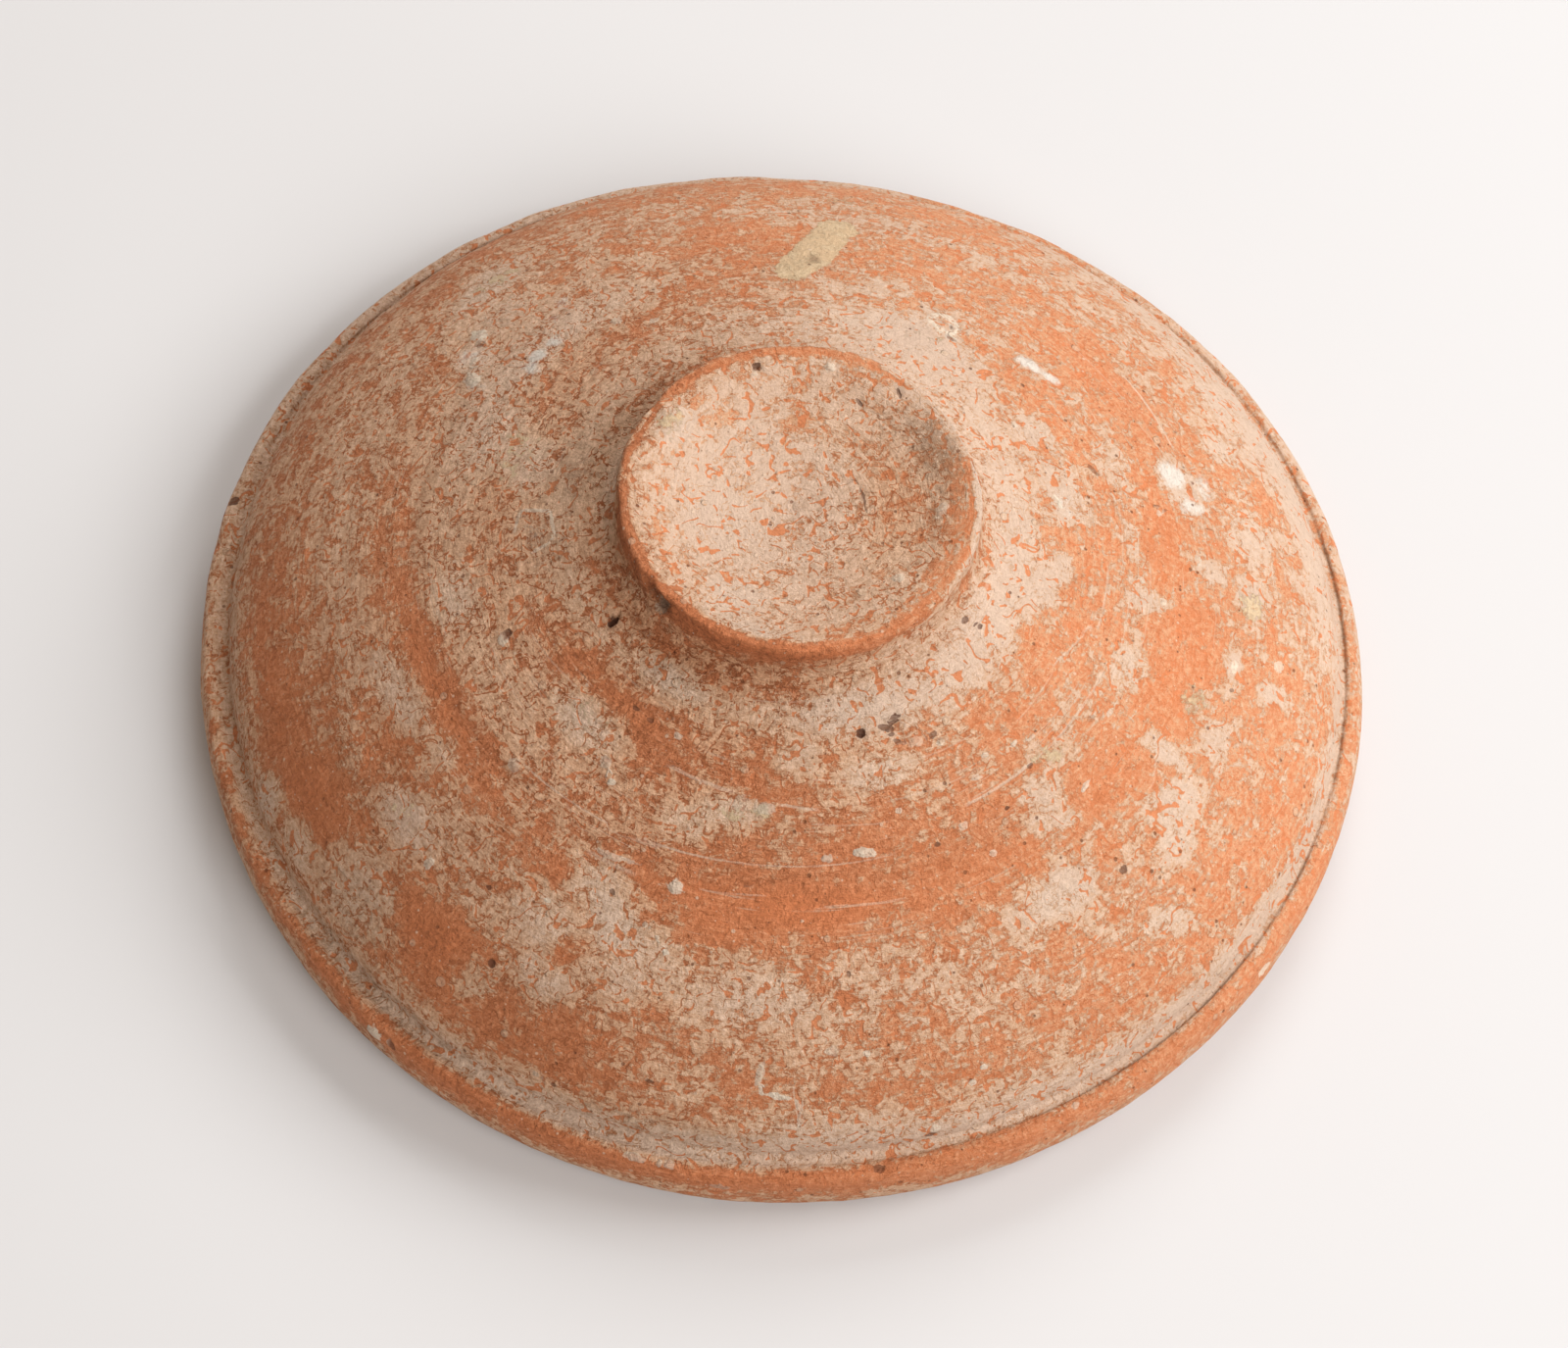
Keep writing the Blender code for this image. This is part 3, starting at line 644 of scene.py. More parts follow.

# %% [markdown]
# ## Marks smaller than the grid
#
# A find is known by its small marks: pale grit that stands proud, pinholes, and scratches from the plough. They
# are narrower than one cell of the grid, so painting them on its points would blur them. We store a place
# instead of a colour. The place inside an oval, or beside a line, changes evenly from point to point, and the
# finish can draw a sharp edge between the points.

# %% Small spots with a crisp edge
# Each point keeps its place (u, v) in the nearest oval, and the finish draws the edge where u^2 + v^2 = 1.
# Direction, distance, two half-sizes, then how pale, how dark and how high the spot is, and maybe a lean.
# The dark is painted shade where the spot is a hole, pit, chip or crack and lies low, and a dark stain on the few
# that are flat or raised.
SPOTS = (
    (-101.6, 61.6, 1.2, 1, 0.9, 0, 0.35), (-111.5, 60.8, 3.2, 0.6, 0.6, 0, 0.25, -8),
    (-73.8, 55, 1.5, 0.7, 1, 0, 0.3), (-72.2, 55.3, 0.9, 0.6, 0.9, 0, 0.2, 20), (-100.5, 70.4, 0.6, 0.5, 1, 0, 0.2),
    (-104, 67.6, 0.5, 0.5, 0.6, 0, 0.2), (-151.3, 50, 1.1, 0.8, 0.8, 0, 0.35), (-152, 48.9, 0.6, 0.5, 0, 0.9, -0.3),
    (-140.9, 35.6, 0.8, 1, 0, 1, -0.5), (-69.4, 39.2, 0.7, 0.65, 0, 1, -0.5),
    (-63.5, 39.3, 1.2, 0.5, 0, 0.8, -0.3, 30), (-60.5, 38.3, 0.9, 0.4, 0, 0.8, -0.3),
    (-62, 41.5, 0.5, 0.5, 0, 0.7, -0.2), (-39.2, 73, 0.75, 0.75, 0, 0.8, -0.15),
    (-119, 81.8, 0.7, 0.6, 0, 0.9, -0.3), (111, 22.2, 0.7, 0.6, 0, 0.9, -0.4), (112.5, 21.2, 0.5, 0.4, 0.6, 0, 0.2),
    (57, 22.6, 0.9, 0.3, 0, 0.7, -0.3, 30), (68, 18.6, 0.8, 0.3, 0, 0.7, -0.3, 25), (84, 22, 0.8, 0.8, 0.7, 0, 0.3),
    (-36, 18.2, 1.2, 0.9, 0.6, 0, 0.3), (2, 19.8, 1.6, 0.9, 0.5, 0, 0.25, 20),
    (36.2, 8.8, 1.1, 0.22, 0, 0.65, -0.2, -22), (17.3, 9.2, 2.1, 0.24, 0, 0.65, -0.2),
    (-75.6, 101.8, 1, 0.8, 0, 0.7, -0.3), (-55.6, 101.4, 0.7, 0.6, 0.5, 0, 0.2),
    (-76.2, 82, 0.55, 0.55, 0.8, 0, 0.2), (-80, 81.2, 0.9, 0.8, 0.5, 0, 0.15), (-69.8, 95.6, 0.9, 0.8, 0.8, 0, 0.3),
    (-70.3, 96.8, 0.7, 0.5, 0, 0.8, -0.2), (-98.6, 102, 1.6, 0.8, 0.6, 0, 0.3), (-95.4, 102, 0.8, 0.8, 0.6, 0, 0.3),
    (-90.5, 104.8, 1.6, 0.7, 0.4, 0.2, 0.2), (-126.6, 104.2, 1.5, 1.2, 1, 0, 0.4),
    (-124.4, 104, 0.8, 0.9, 0, 0.7, -0.2), (23, 51.2, 1.3, 0.45, 0, 0.55, 0.1, -35),
    (-87.6, 84.4, 0.6, 2, 0.7, 0, 0.15, 12), (-85.6, 87.5, 1.9, 0.5, 1, 0, 0.15, 10),
    (-83.5, 91.5, 0.3, 2.6, 0.6, 0, 0.1, 8), (-132.2, 58.6, 1.1, 0.9, 0.5, 0, 0.35, 30),
    (-120.2, 50.4, 0.9, 0.9, 0.6, 0, 0.35), (-131.8, 76.6, 0.8, 0.9, 0.8, 0, 0.3),
    (-58.3, 42.5, 1.2, 0.7, 0.4, 0, 0.2), (-3, 80.2, 1, 0.9, 0.8, 0, 0.15, 30), (-6.2, 72.4, 1.2, 0.6, 0.8, 0, 0.1),
    (-50.5, 50.5, 0.9, 0.5, 0.6, 0, 0.25, 20), (-56.5, 55.5, 0.7, 0.6, 0.6, 0, 0.25),
    (-66, 50.6, 0.5, 0.5, 0.7, 0, 0.25), (146, 66.8, 1.4, 1.5, 1, 0, 0.35), (147.5, 64.9, 0.6, 0.5, 0, 0.6, -0.2),
    (154, 61, 1.3, 1.9, 0.9, 0, 0.4, 20), (150.5, 63.6, 0.9, 0.8, 0.5, 0, 0.3),
    (16.2, 60.6, 1.3, 0.25, 0, 0.6, -0.2, -70), (13.8, 67.6, 0.2, 1.6, 0, 0.5, -0.15, 12),
    (-31, 105.3, 1.7, 0.8, 0.9, 0, -0.1), (171, 102, 0.9, 0.9, 0, 0.9, -0.3), (-9.5, 72.8, 0.4, 0.4, 0, 0.6, -0.1),
    (-124, 73.4, 0.5, 0.4, 0, 0.8, -0.2), (-135, 27, 1.7, 1.1, 0, 1, -0.4, 20), (-133, 28.6, 1.3, 1, 0.5, 0.1, 0.1),
    (62, 47.5, 0.8, 0.4, 0, 0.6, -0.1), (-28.5, 33, 0.6, 0.5, 0, 0.8, -0.2), (-27, 35.2, 0.5, 0.4, 0, 0.8, -0.2),
    (65.4, 50, 2.7, 2.4, 2, 0, 0.1), (64, 50.2, 0.7, 0.4, 0, 0.9, -0.2, 40),
    (-177.5, 42.4, 0.3, 2.2, 0.7, 0, 0.05, 10), (-173, 39.4, 2.2, 0.3, 0.7, 0, 0.05, -10),
    (-167.6, 41.5, 0.3, 1.8, 0.6, 0, 0.05, -15), (-175, 44.8, 1.6, 0.3, 0.5, 0, 0.05, 12),
    (-54, 42.6, 0.8, 0.5, 0, 0.7, -0.2), (-53.4, 43.9, 0.7, 0.5, 0.6, 0, 0.2), (-37.5, 50.6, 0.7, 0.3, 0.6, 0, 0.2),
    (-41, 49.6, 0.9, 0.35, 0.8, 0, 0.25), (-47, 48.5, 0.7, 0.4, 0.8, 0, 0.25), (-41, 53.4, 0.6, 0.35, 0, 0.7, 0.2),
    (-48.6, 56.2, 0.4, 0.3, 0, 0.9, -0.2), (-24, 57, 0.8, 0.5, 0.8, 0, 0.2),
    (-36, 60.7, 1.2, 0.4, 0.8, 0, 0.25, -10), (-26.8, 55.2, 0.9, 0.5, 0, 0.35, 0),
    (-61.5, 56.5, 0.5, 0.4, 0, 0.8, -0.2), (-54, 60.6, 0.7, 0.5, 0.6, 0, 0.2), (-64, 87.5, 0.7, 0.5, 0.9, 0, 0.2),
    (-65.5, 89.3, 0.6, 0.5, 0.9, 0, 0.2), (-117.5, 52.2, 0.6, 0.5, 0.9, 0, 0.2), (-90, 48.9, 1.5, 0.9, 0.6, 0, 0.3),
    (-121.5, 42, 0.6, 0.4, 0, 0.8, -0.2), (-117.5, 42.3, 0.5, 0.4, 0, 0.7, -0.2),
    (-102, 68.7, 0.4, 0.3, 0.9, 0, 0.2), (-116.8, 70.3, 0.5, 0.4, 0.8, 0, 0.2),
    (-110, 93, 0.6, 0.5, 0.5, 0.2, 0.25), (-108, 93.5, 0.5, 0.4, 0, 0.7, -0.2), (-98.8, 88, 0.6, 0.4, 0, 0.7, -0.2),
    (-109.6, 65.2, 0.5, 0.4, 0, 0.7, -0.2), (-1, 59.5, 0.6, 0.6, 0.8, 0, 0.25), (15, 60.2, 0.6, 0.5, 0.7, 0, 0.2),
    (1.5, 56, 0.6, 0.5, 0.7, 0, 0.2), (23.5, 57.4, 0.6, 0.4, 0.7, 0, 0.2), (8, 65.6, 0.9, 0.6, 0.6, 0, 0.15),
    (45, 49, 0.5, 0.3, 0, 0.7, -0.2), (15.2, 43.4, 1.2, 0.5, 1, 0, 0.2, -20), (19.6, 67.3, 1.3, 1, 0, 0.15, -0.1),
    (36.5, 42.3, 0.6, 0.5, 0.6, 0, 0.2), (-79.5, 55.4, 0.9, 0.6, 0.7, 0, 0.3),
    (-110.5, 42.5, 0.7, 0.5, 0.7, 0, 0.25), (-94.5, 48.7, 1.6, 1.2, 0.35, 0, 0.05),
    (-77.6, 71, 0.4, 0.4, 0, 0.7, -0.1), (130.5, 51, 0.9, 0.8, 0.6, 0, 0.25), (125, 47.4, 0.9, 0.6, 0.6, 0, 0.25),
)
FAR_FROM_SPOTS = 9
best = np.full(along.shape, np.inf)
spot_place, spot_kind = np.zeros((2, *along.shape, 3))
for turn, out, wide, tall, pale, dark, lift, *lean in SPOTS:
    u, v = oval(turn, out, wide, tall, *lean)
    far = np.hypot(u, v)
    nearest = (far < best) & outer
    best = np.where(nearest, far, best)
    spot_place[nearest] = np.stack([u, v, far], axis=-1)[nearest]
    spot_kind[nearest] = (pale, dark, lift)
spot_place[~outer] = FAR_FROM_SPOTS
print("spots", len(SPOTS))

# %% Long scratches
# Each point keeps how many half-widths it lies beside the nearest line, and how strong that line is there.
# Direction and distance of the start, direction and distance of the end, half-width in mm, strength.
SCRATCHES = (
    (-53, 53.1, -20, 53.3, 0.22, 1), (-22, 46.8, -10, 49.6, 0.15, 0.8), (-21, 47.3, -10, 49, 0.12, 0.6),
    (-10, 50.4, 1, 50.5, 0.2, 0.7), (-10, 51.2, -1, 51.2, 0.14, 0.5), (-10, 57.4, 4, 57.4, 0.12, 0.5),
    (-130, 57.6, -107, 57, 0.15, 0.8), (-107, 57, -92, 56.5, 0.16, 0.9), (-92, 56.5, -70, 56.1, 0.13, 0.7),
    (-120, 58.3, -107, 57.5, 0.12, 0.6), (-130, 54.2, -118, 53.8, 0.12, 0.5), (-114, 61.8, -109, 61.8, 0.3, 0.7),
    (-108, 46.6, -98, 47.3, 0.28, 0.8), (-86, 48.2, -82, 48.7, 0.2, 0.9), (-80, 50.8, -70, 51.6, 0.12, 0.5),
    (-79, 61.8, -70, 62.2, 0.18, 0.6), (-80, 44.7, -71, 45.6, 0.15, 0.6), (-97, 61, -90, 60.5, 0.14, 0.5),
    (40, 67.7, 28.4, 67.4, 0.22, 1), (31, 63.6, 26.5, 64.9, 0.12, 0.6), (48, 64, 36, 64, 0.12, 0.5),
    (10, 67.5, 16, 67.5, 0.14, 0.5), (-60, 33.4, -30, 33, 0.14, 0.5), (-40, 35, -15, 34.4, 0.13, 0.5),
    (-20, 33, 12, 34, 0.14, 0.5), (0, 36.8, 20, 36, 0.13, 0.45), (-95, 34.5, -72, 33.6, 0.13, 0.5),
    (-84, 87, -83.4, 91.5, 0.13, 0.8), (-83.4, 91.5, -85.5, 95, 0.13, 0.8), (-66, 49, -50, 49.6, 0.13, 0.5),
    (-64, 44.6, -48, 45.2, 0.14, 0.5), (-37, 50.8, -24, 51, 0.12, 0.45), (-36, 47.6, -26, 47.2, 0.13, 0.45),
    (-16, 54.6, -4, 54.2, 0.12, 0.5), (4, 52.8, 14, 53.4, 0.12, 0.45), (24, 56, 36, 56.6, 0.12, 0.45),
    (-150, 52, -136, 52.6, 0.13, 0.5), (-148, 46, -136, 45.2, 0.14, 0.5), (-170, 58, -158, 57.4, 0.14, 0.5),
    (166, 57.2, 150, 58, 0.13, 0.5), (120, 47, 104, 46.2, 0.12, 0.4), (90, 44.6, 74, 44, 0.12, 0.4),
    (-78, 70.4, -73, 71.6, 0.14, 0.5), (-42, 79, -37, 76.8, 0.16, 0.4), (-28, 67.9, -24.5, 66, 0.2, 0.5),
)
# A line that turns less than STEEP_TURN degrees is steep. The radius is about RADIUS_SHARE of the way along.
MOST_WIDTHS = 20.0
STEEP_TURN = 2
RADIUS_SHARE = 0.87
FADE_FROM, FADE_LENGTH = 1.4, 1.2


def beside(turn, out, end_turn, end_out):
    """Distance beside a line, and how far past its ends. A steep line is measured across it, others down it."""
    sweep = (end_turn - turn + 180) % 360 - 180
    if abs(sweep) < STEEP_TURN:
        share = np.clip((along - out) / (end_out - out), -1, 2)
        offset = np.radians(away_from(turn) - sweep * np.clip(share, 0, 1)) * radius
        length = abs(end_out - out)
    else:
        share = away_from(turn) / sweep
        offset = along - out - (end_out - out) * np.clip(share, 0, 1)
        length = abs(math.radians(sweep)) * out * RADIUS_SHARE
    return offset, np.maximum(np.maximum(-share, share - 1), 0) * length


line_place = np.full((*along.shape, 3), MOST_WIDTHS)
line_place[..., 2] = 0
for *ends, half_width, strength in SCRATCHES:
    offset, past = beside(*ends)
    offset = offset / half_width
    fade = np.clip(FADE_FROM - past / FADE_LENGTH, 0, 1)
    closer = (np.abs(offset) < line_place[..., 1]) & (fade > 0) & outer
    line_place[closer] = np.stack([offset, np.abs(offset), strength * fade], axis=-1)[closer]
print("scratches", len(SCRATCHES))

# %% Where the surface is rough, calm, dirty or painted in shade
# Coarse is how rough the film and the clay are, and how strongly the finish paints light and shade on their grains
# and hollows; it is highest on the left, on the side turned from the lamps. Calm is how even the film is. Sides are
# directions in degrees.
SMOOTH_SIDE, CALM_SIDE, DISH_ROUGH_SIDE = 25, 160, -20
DISH_ENDS = 21.5
GROOVE_DIRT_AND_SHADE, GROOVE_DIRT_AND_SHADE_BAND = 0.8, (1.1, 0.8)
left_side = np.clip(0.5 - 0.75 * towards(SMOOTH_SIDE), 0, 1)
coarse = 0.45 + 0.55 * left_side * (0.75 + 0.25 * coarse_middle) + 0.3 * foot_side
dish_coarse = 0.60 + 0.20 * towards(DISH_ROUGH_SIDE)
coarse += (dish_coarse - coarse) * (1 - step(DISH_ENDS, 3.0))
calm = 1 - step(DISH_ENDS - 1, 3.0)
calm += np.clip(towards(CALM_SIDE), 0, 1) ** 2 * 0.55 * step(30, 4) * (1 - step(70, 16))
# Painted shade: a dark line in the groove's crevice, strongest where the rim is cracked and faint on the soft side.
# It is laid together with the dirt.
groove_dirt_and_shade = past_groove(*GROOVE_DIRT_AND_SHADE_BAND) * np.clip(0.36 + 0.4 * cracked - 0.3 * softness, 0, 1)
dirt_and_shade = np.maximum(laid(DIRT_AND_SHADE), groove_dirt_and_shade * GROOVE_DIRT_AND_SHADE)

# %% Store the layers on the mesh
layers = {"along": along, "film": film, "coarse": coarse, "calm": calm, "shaded_side": laid(SHADED_SIDE), "dirt_and_shade": dirt_and_shade,
          "chalk": laid(CHALK), "cream": laid(CREAM), "worn": laid(WORN),
          "spot": spot_place, "spot_kind": spot_kind, "line": line_place}
for name, values in layers.items():
    kind, key = ("FLOAT_VECTOR", "vector") if values.ndim == 3 else ("FLOAT", "value")
    store = mesh.attributes.new(name, kind, "POINT")
    store.data.foreach_set(key, on_points(values).astype(np.float32).ravel())
    print("layer", name, " from", values.min().round(2), "to", values.max().round(2))

# %% [markdown]
# ## The finish
#
# Roman potters dipped the dry bowl in a fine clay slip that fired to a silky red. On this one most of the gloss is
# gone, so the surface is nearly matt. The recipe works from the clay outwards: slip and film, scratches, deposits,
# grains and pits, placed spots, and the fine relief of all of them. Each step reads the layers stored on the mesh
# and adds noise measured in millimetres, so the finish keeps its scale on any part.
#
# The class below only shortens the wiring of shader nodes. Each method adds nodes and returns an output.

# %% A small kit for shader recipes
def plug_in(node, plugs):
    """Gives each of these plugs of a node either a wire or a plain value."""
    for key, value in dict(plugs).items():
        if isinstance(value, bpy.types.NodeSocket):
            node.id_data.links.new(value, node.inputs[key])
        else:
            node.inputs[key].default_value = value


class Recipe:
    """Adds shader nodes to one material and wires them, so that a finish reads as a list of steps."""

    def __init__(self, name):
        self.material = bpy.data.materials.new(name)
        self.material.use_nodes = True
        self.tree = self.material.node_tree
        self.shader = self.tree.nodes["Principled BSDF"]

    def add(self, kind, plugs=(), **settings):
        """One node with its settings and plugs."""
        node = self.tree.nodes.new(kind)
        for key, value in settings.items():
            setattr(node, key, value)
        plug_in(node, plugs)
        return node

    def maths(self, operation, *values, clamp=False):
        """One sum on single numbers, held between 0 and 1 if clamp is set."""
        return self.add("ShaderNodeMath", enumerate(values), operation=operation, use_clamp=clamp).outputs[0]

    def times(self, first, second, clamp=False):
        """The product of two values."""
        return self.maths("MULTIPLY", first, second, clamp=clamp)

    def line(self, value, gain, lift, clamp=False):
        """The value times a gain, plus a lift."""
        return self.maths("MULTIPLY_ADD", value, gain, lift, clamp=clamp)

    def sum_of(self, *terms):
        """The sum of pairs of value and weight."""
        result = 0.0
        for value, weight in terms:
            result = self.line(value, weight, result)
        return result

    def vectors(self, operation, plugs, output=0):
        """One sum on vectors."""
        return self.add("ShaderNodeVectorMath", plugs, operation=operation).outputs[output]

    def parts(self, vector):
        """The three numbers of a vector."""
        return self.add("ShaderNodeSeparateXYZ", {0: vector}).outputs

    def layer(self, name, output="Fac"):
        """What is stored on the mesh under this name: a number, or the output "Vector"."""
        return self.add("ShaderNodeAttribute", attribute_name=name).outputs[output]

    def noise(self, place, size, detail=3.0, roughness=0.55, distortion=0.0):
        """Cloudy noise whose features are about this many mm across, around 0.5."""
        return self.add("ShaderNodeTexNoise", {"Vector": place, "Scale": 1 / size, "Detail": detail,
                                               "Roughness": roughness, "Distortion": distortion}).outputs[0]

    def ease(self, value, low, high, to_low=0.0, to_high=1.0):
        """Eases from one value to another while the input goes from low to high."""
        return self.add("ShaderNodeMapRange", {"Value": value, "From Min": low, "From Max": high, "To Min": to_low,
                                               "To Max": to_high}, interpolation_type="SMOOTHSTEP").outputs[0]

    def blend(self, share, first, second):
        """Mixes two colours: the first where share is 0, the second where it is 1."""
        return self.add("ShaderNodeMix", {0: share, 6: first, 7: second}, data_type="RGBA").outputs[2]

    def ramp(self, value, stops):
        """Colours at places from 0 to 1, blended in a straight line between them."""
        node = self.add("ShaderNodeValToRGB", {0: value})
        band = node.color_ramp
        while len(band.elements) < len(stops):
            band.elements.new(0.5)
        for element, (place, colour) in zip(band.elements, stops):
            element.position = place
            element.color = (*colour, 1)
        return node.outputs[0]


# %% Coordinates
finish = Recipe("worn_red_slip")
# The recipe's steps under short names.
maths, times, line, sum_of, vectors = finish.maths, finish.times, finish.line, finish.sum_of, finish.vectors
parts, layer, noise, ease = finish.parts, finish.layer, finish.noise, finish.ease
place = finish.add("ShaderNodeTexCoord").outputs["Object"]
place = vectors("SCALE", {0: place, "Scale": 1 / MM})
film_here, along_here, coarse = layer("film"), layer("along"), layer("coarse")
east, north, _ = parts(place)


def drawn_out(stretch):
    """Coordinates in which noise is this many times longer round the bowl than along the outline."""
    plugs = {0: maths("DIVIDE", east, stretch), 1: maths("DIVIDE", north, stretch), 2: along_here}
    return finish.add("ShaderNodeCombineXYZ", plugs).outputs[0]


TURNING_STRETCH, SCRATCH_STRETCH = 7.0, 26.0
ring_place, scratch_place = drawn_out(TURNING_STRETCH), drawn_out(SCRATCH_STRETCH)

# %% [markdown]
# ## Film on slip
#
# The film is not a flat coat. It is a fine frost on the tips of the clay's tooth, it closes to islands in sheltered
# places, and it is broken by thin lines where it cracked or where roots ate it. We use one number from 0 for bare
# slip to 1 for thick film, and a ramp of colours that was matched. The same noise also lays the pale frost on the
# raised grains, drives the fine relief, and paints light and shade: raised grains painted lighter, hollows and
# cracks painted darker, and the film painted lighter than the slip, all most strongly on the coarse, shaded left.

# %% Noise that the film is made of
def lines(size, detail, distortion):
    """How far smooth noise is from a half: 0 on winding lines, and up to about 0.3 away from them."""
    return maths("ABSOLUTE", maths("SUBTRACT", noise(place, size, detail, 0.6, distortion), 0.5))


flakes = noise(place, 3.6, 6, 0.72, 0.25)
mottle = noise(place, 0.9, 4, 0.85)
streaks = noise(ring_place, 0.6, 4, 0.8)
worm_noise = noise(place, 2.0, 2, 0.6)
wide_cracks, fine_cracks = lines(3.0, 2.5, 0.4), lines(1.3, 2.0, 0.3)
bare = times(layer("worn"), 0.4)


def ragged(*weights):
    """Flakes, streaks and mottle with these weights, around 0."""
    return maths("SUBTRACT", sum_of(*zip((flakes, streaks, mottle), weights)), sum(weights) / 2)


# %% Whole islands, and the net of cracks
ISLAND_FLAKES, ISLAND_STREAKS, ISLAND_MOTTLE = 2.2, 0.7, 0.8
ISLAND_COARSE, ISLAND_LEVEL, ISLAND_EDGE = 0.5, 0.225, (0.49, 0.59)
NET_EDGE = 0.004, 0.030
island = sum_of((film_here, 1), (ragged(ISLAND_FLAKES, ISLAND_STREAKS, ISLAND_MOTTLE), 1), (bare, -1),
                (coarse, ISLAND_COARSE))
islands = ease(maths("SUBTRACT", island, ISLAND_LEVEL), *ISLAND_EDGE)
fine_net = maths("ADD", fine_cracks, ease(flakes, 0.42, 0.56, 0, 0.06))
wide_net = maths("ADD", wide_cracks, ease(worm_noise, 0.47, 0.52, 0, 0.06))
net = times(ease(maths("MINIMUM", wide_net, fine_net), *NET_EDGE, 1, 0), coarse)
calm = line(islands, 0.45, layer("calm"), clamp=True)

# %% Frost: how much film shows
# The coarser side gets less of the pale specks, and calm places get less of both.
FROST_FLAKES, FROST_STREAKS, FROST_MOTTLE = 0.7, 1.6, 2.6
ISLANDS, NET, COARSE_LOSS, CALM_GAIN = 0.36, 0.62, 0.18, 0.08
FROST_RANGE, WORM_EDGE, WORM_BARE = (-0.45, 1.3), (-0.012, 0.006), 0.85
speckle = ragged(FROST_FLAKES, FROST_STREAKS, FROST_MOTTLE)
held_back = times(maths("MAXIMUM", speckle, 0), line(coarse, -0.7, 0.25))
speckle = maths("ADD", speckle, maths("MINIMUM", held_back, 0))
speckle = times(speckle, line(calm, -0.68, 1))
net_depth = times(net, line(calm, 0.6, NET))
frost = sum_of((film_here, 1), (speckle, 1), (net_depth, -1), (islands, ISLANDS), (bare, -1),
               (coarse, -COARSE_LOSS), (calm, CALM_GAIN))
frost = ease(maths("ADD", frost, 0.08 - ISLANDS / 2 + 0.1 * NET), *FROST_RANGE)
worm_on = ease(worm_noise, 0.50, 0.54, -0.03, 0.034)
worms = ease(maths("SUBTRACT", lines(3.4, 1.0, 0.6), worm_on), *WORM_EDGE, 1, 0)
shown = times(frost, line(worms, -WORM_BARE, 1))
print("film:", len(finish.tree.nodes), "nodes")

# %% Colour of slip and film, with painted light and shade
# The five colours run from thick bare slip to thick film. The slip is the redder and the film the greyer.
RAMP = ((0.0, (0.660, 0.218, 0.086)), (0.25, (0.662, 0.268, 0.127)), (0.5, (0.664, 0.344, 0.188)),
        (0.75, (0.664, 0.420, 0.270)), (1.0, (0.668, 0.498, 0.382)))
TOOTH_GAIN, TOOTH_LOSS = 1.9, 0.40
MEAN_SHOWN, FILM_GAIN, FILM_LOSS = 0.62, 0.5, 0.27
NET_DARK, NET_LIFT = 0.24, 1.04
# Painted light and shade: the colour is lightened where the tooth's noise is high and darkened where it is low, as
# grazing light does to raised grains and hollows, more where the clay is coarse. There the film is also painted
# lighter than the slip, and the net of cracks is painted dark as their shade.
tooth = maths("SUBTRACT", sum_of((mottle, 1), (streaks, 0.5)), 0.75)
tooth_painted_shading = line(tooth, line(coarse, TOOTH_GAIN, -TOOTH_LOSS), 1)
film_painted_shading = times(maths("SUBTRACT", shown, MEAN_SHOWN), line(coarse, FILM_GAIN, -FILM_LOSS))
net_and_film_painted_shading = maths("ADD", line(net, -NET_DARK, NET_LIFT), film_painted_shading)
painted_light_and_shade = times(tooth_painted_shading, net_and_film_painted_shading)
colour = vectors("SCALE", {0: finish.ramp(shown, RAMP), "Scale": painted_light_and_shade})

# %% What each mark does to the colour
# How much of it shows where it is whole, and its colour as red, green and blue light.
# Among these, the darker slip of the shaded side is painted shade, the dirt paints shade as well, and pits and dark
# spots are painted dark for the shade in their hollows.
PAINTS = {
    "drift": (0.10, (0.40, 0.17, 0.08)), "shaded_side": (0.28, (0.26, 0.095, 0.035)), "scratch": (0.45, (0.74, 0.52, 0.37)),
    "line": (0.75, (0.76, 0.55, 0.41)), "cream": (0.85, (0.70, 0.53, 0.33)), "chalk": (0.85, (0.80, 0.74, 0.66)),
    "dirt_and_shade": (0.6, (0.22, 0.13, 0.075)), "grain": (0.6, (0.80, 0.60, 0.44)), "pit": (0.75, (0.22, 0.08, 0.035)),
    "dot": (0.55, (0.20, 0.085, 0.045)), "fleck": (0.6, (0.80, 0.62, 0.47)), "nodule": (0.4, (0.74, 0.54, 0.38)),
    "pale spot": (1.0, (0.80, 0.68, 0.54)), "dark spot": (0.9, (0.13, 0.05, 0.028)),
}


def painted(name, mask):
    """The colour so far, with this paint laid over it where the mask says."""
    share, paint = PAINTS[name]
    return finish.blend(times(mask, share, clamp=True), colour, (*paint, 1))


colour = painted("drift", ease(noise(place, 14.0, 4, 0.6), 0.3, 0.7))
# Painted shade: the slip is darkened and reddened in clouds over the shaded side.
shade_clouds = ease(noise(place, 6, 4, 0.6), 0.3, 0.6, 0.4, 1)
colour = painted("shaded_side", times(layer("shaded_side"), shade_clouds))

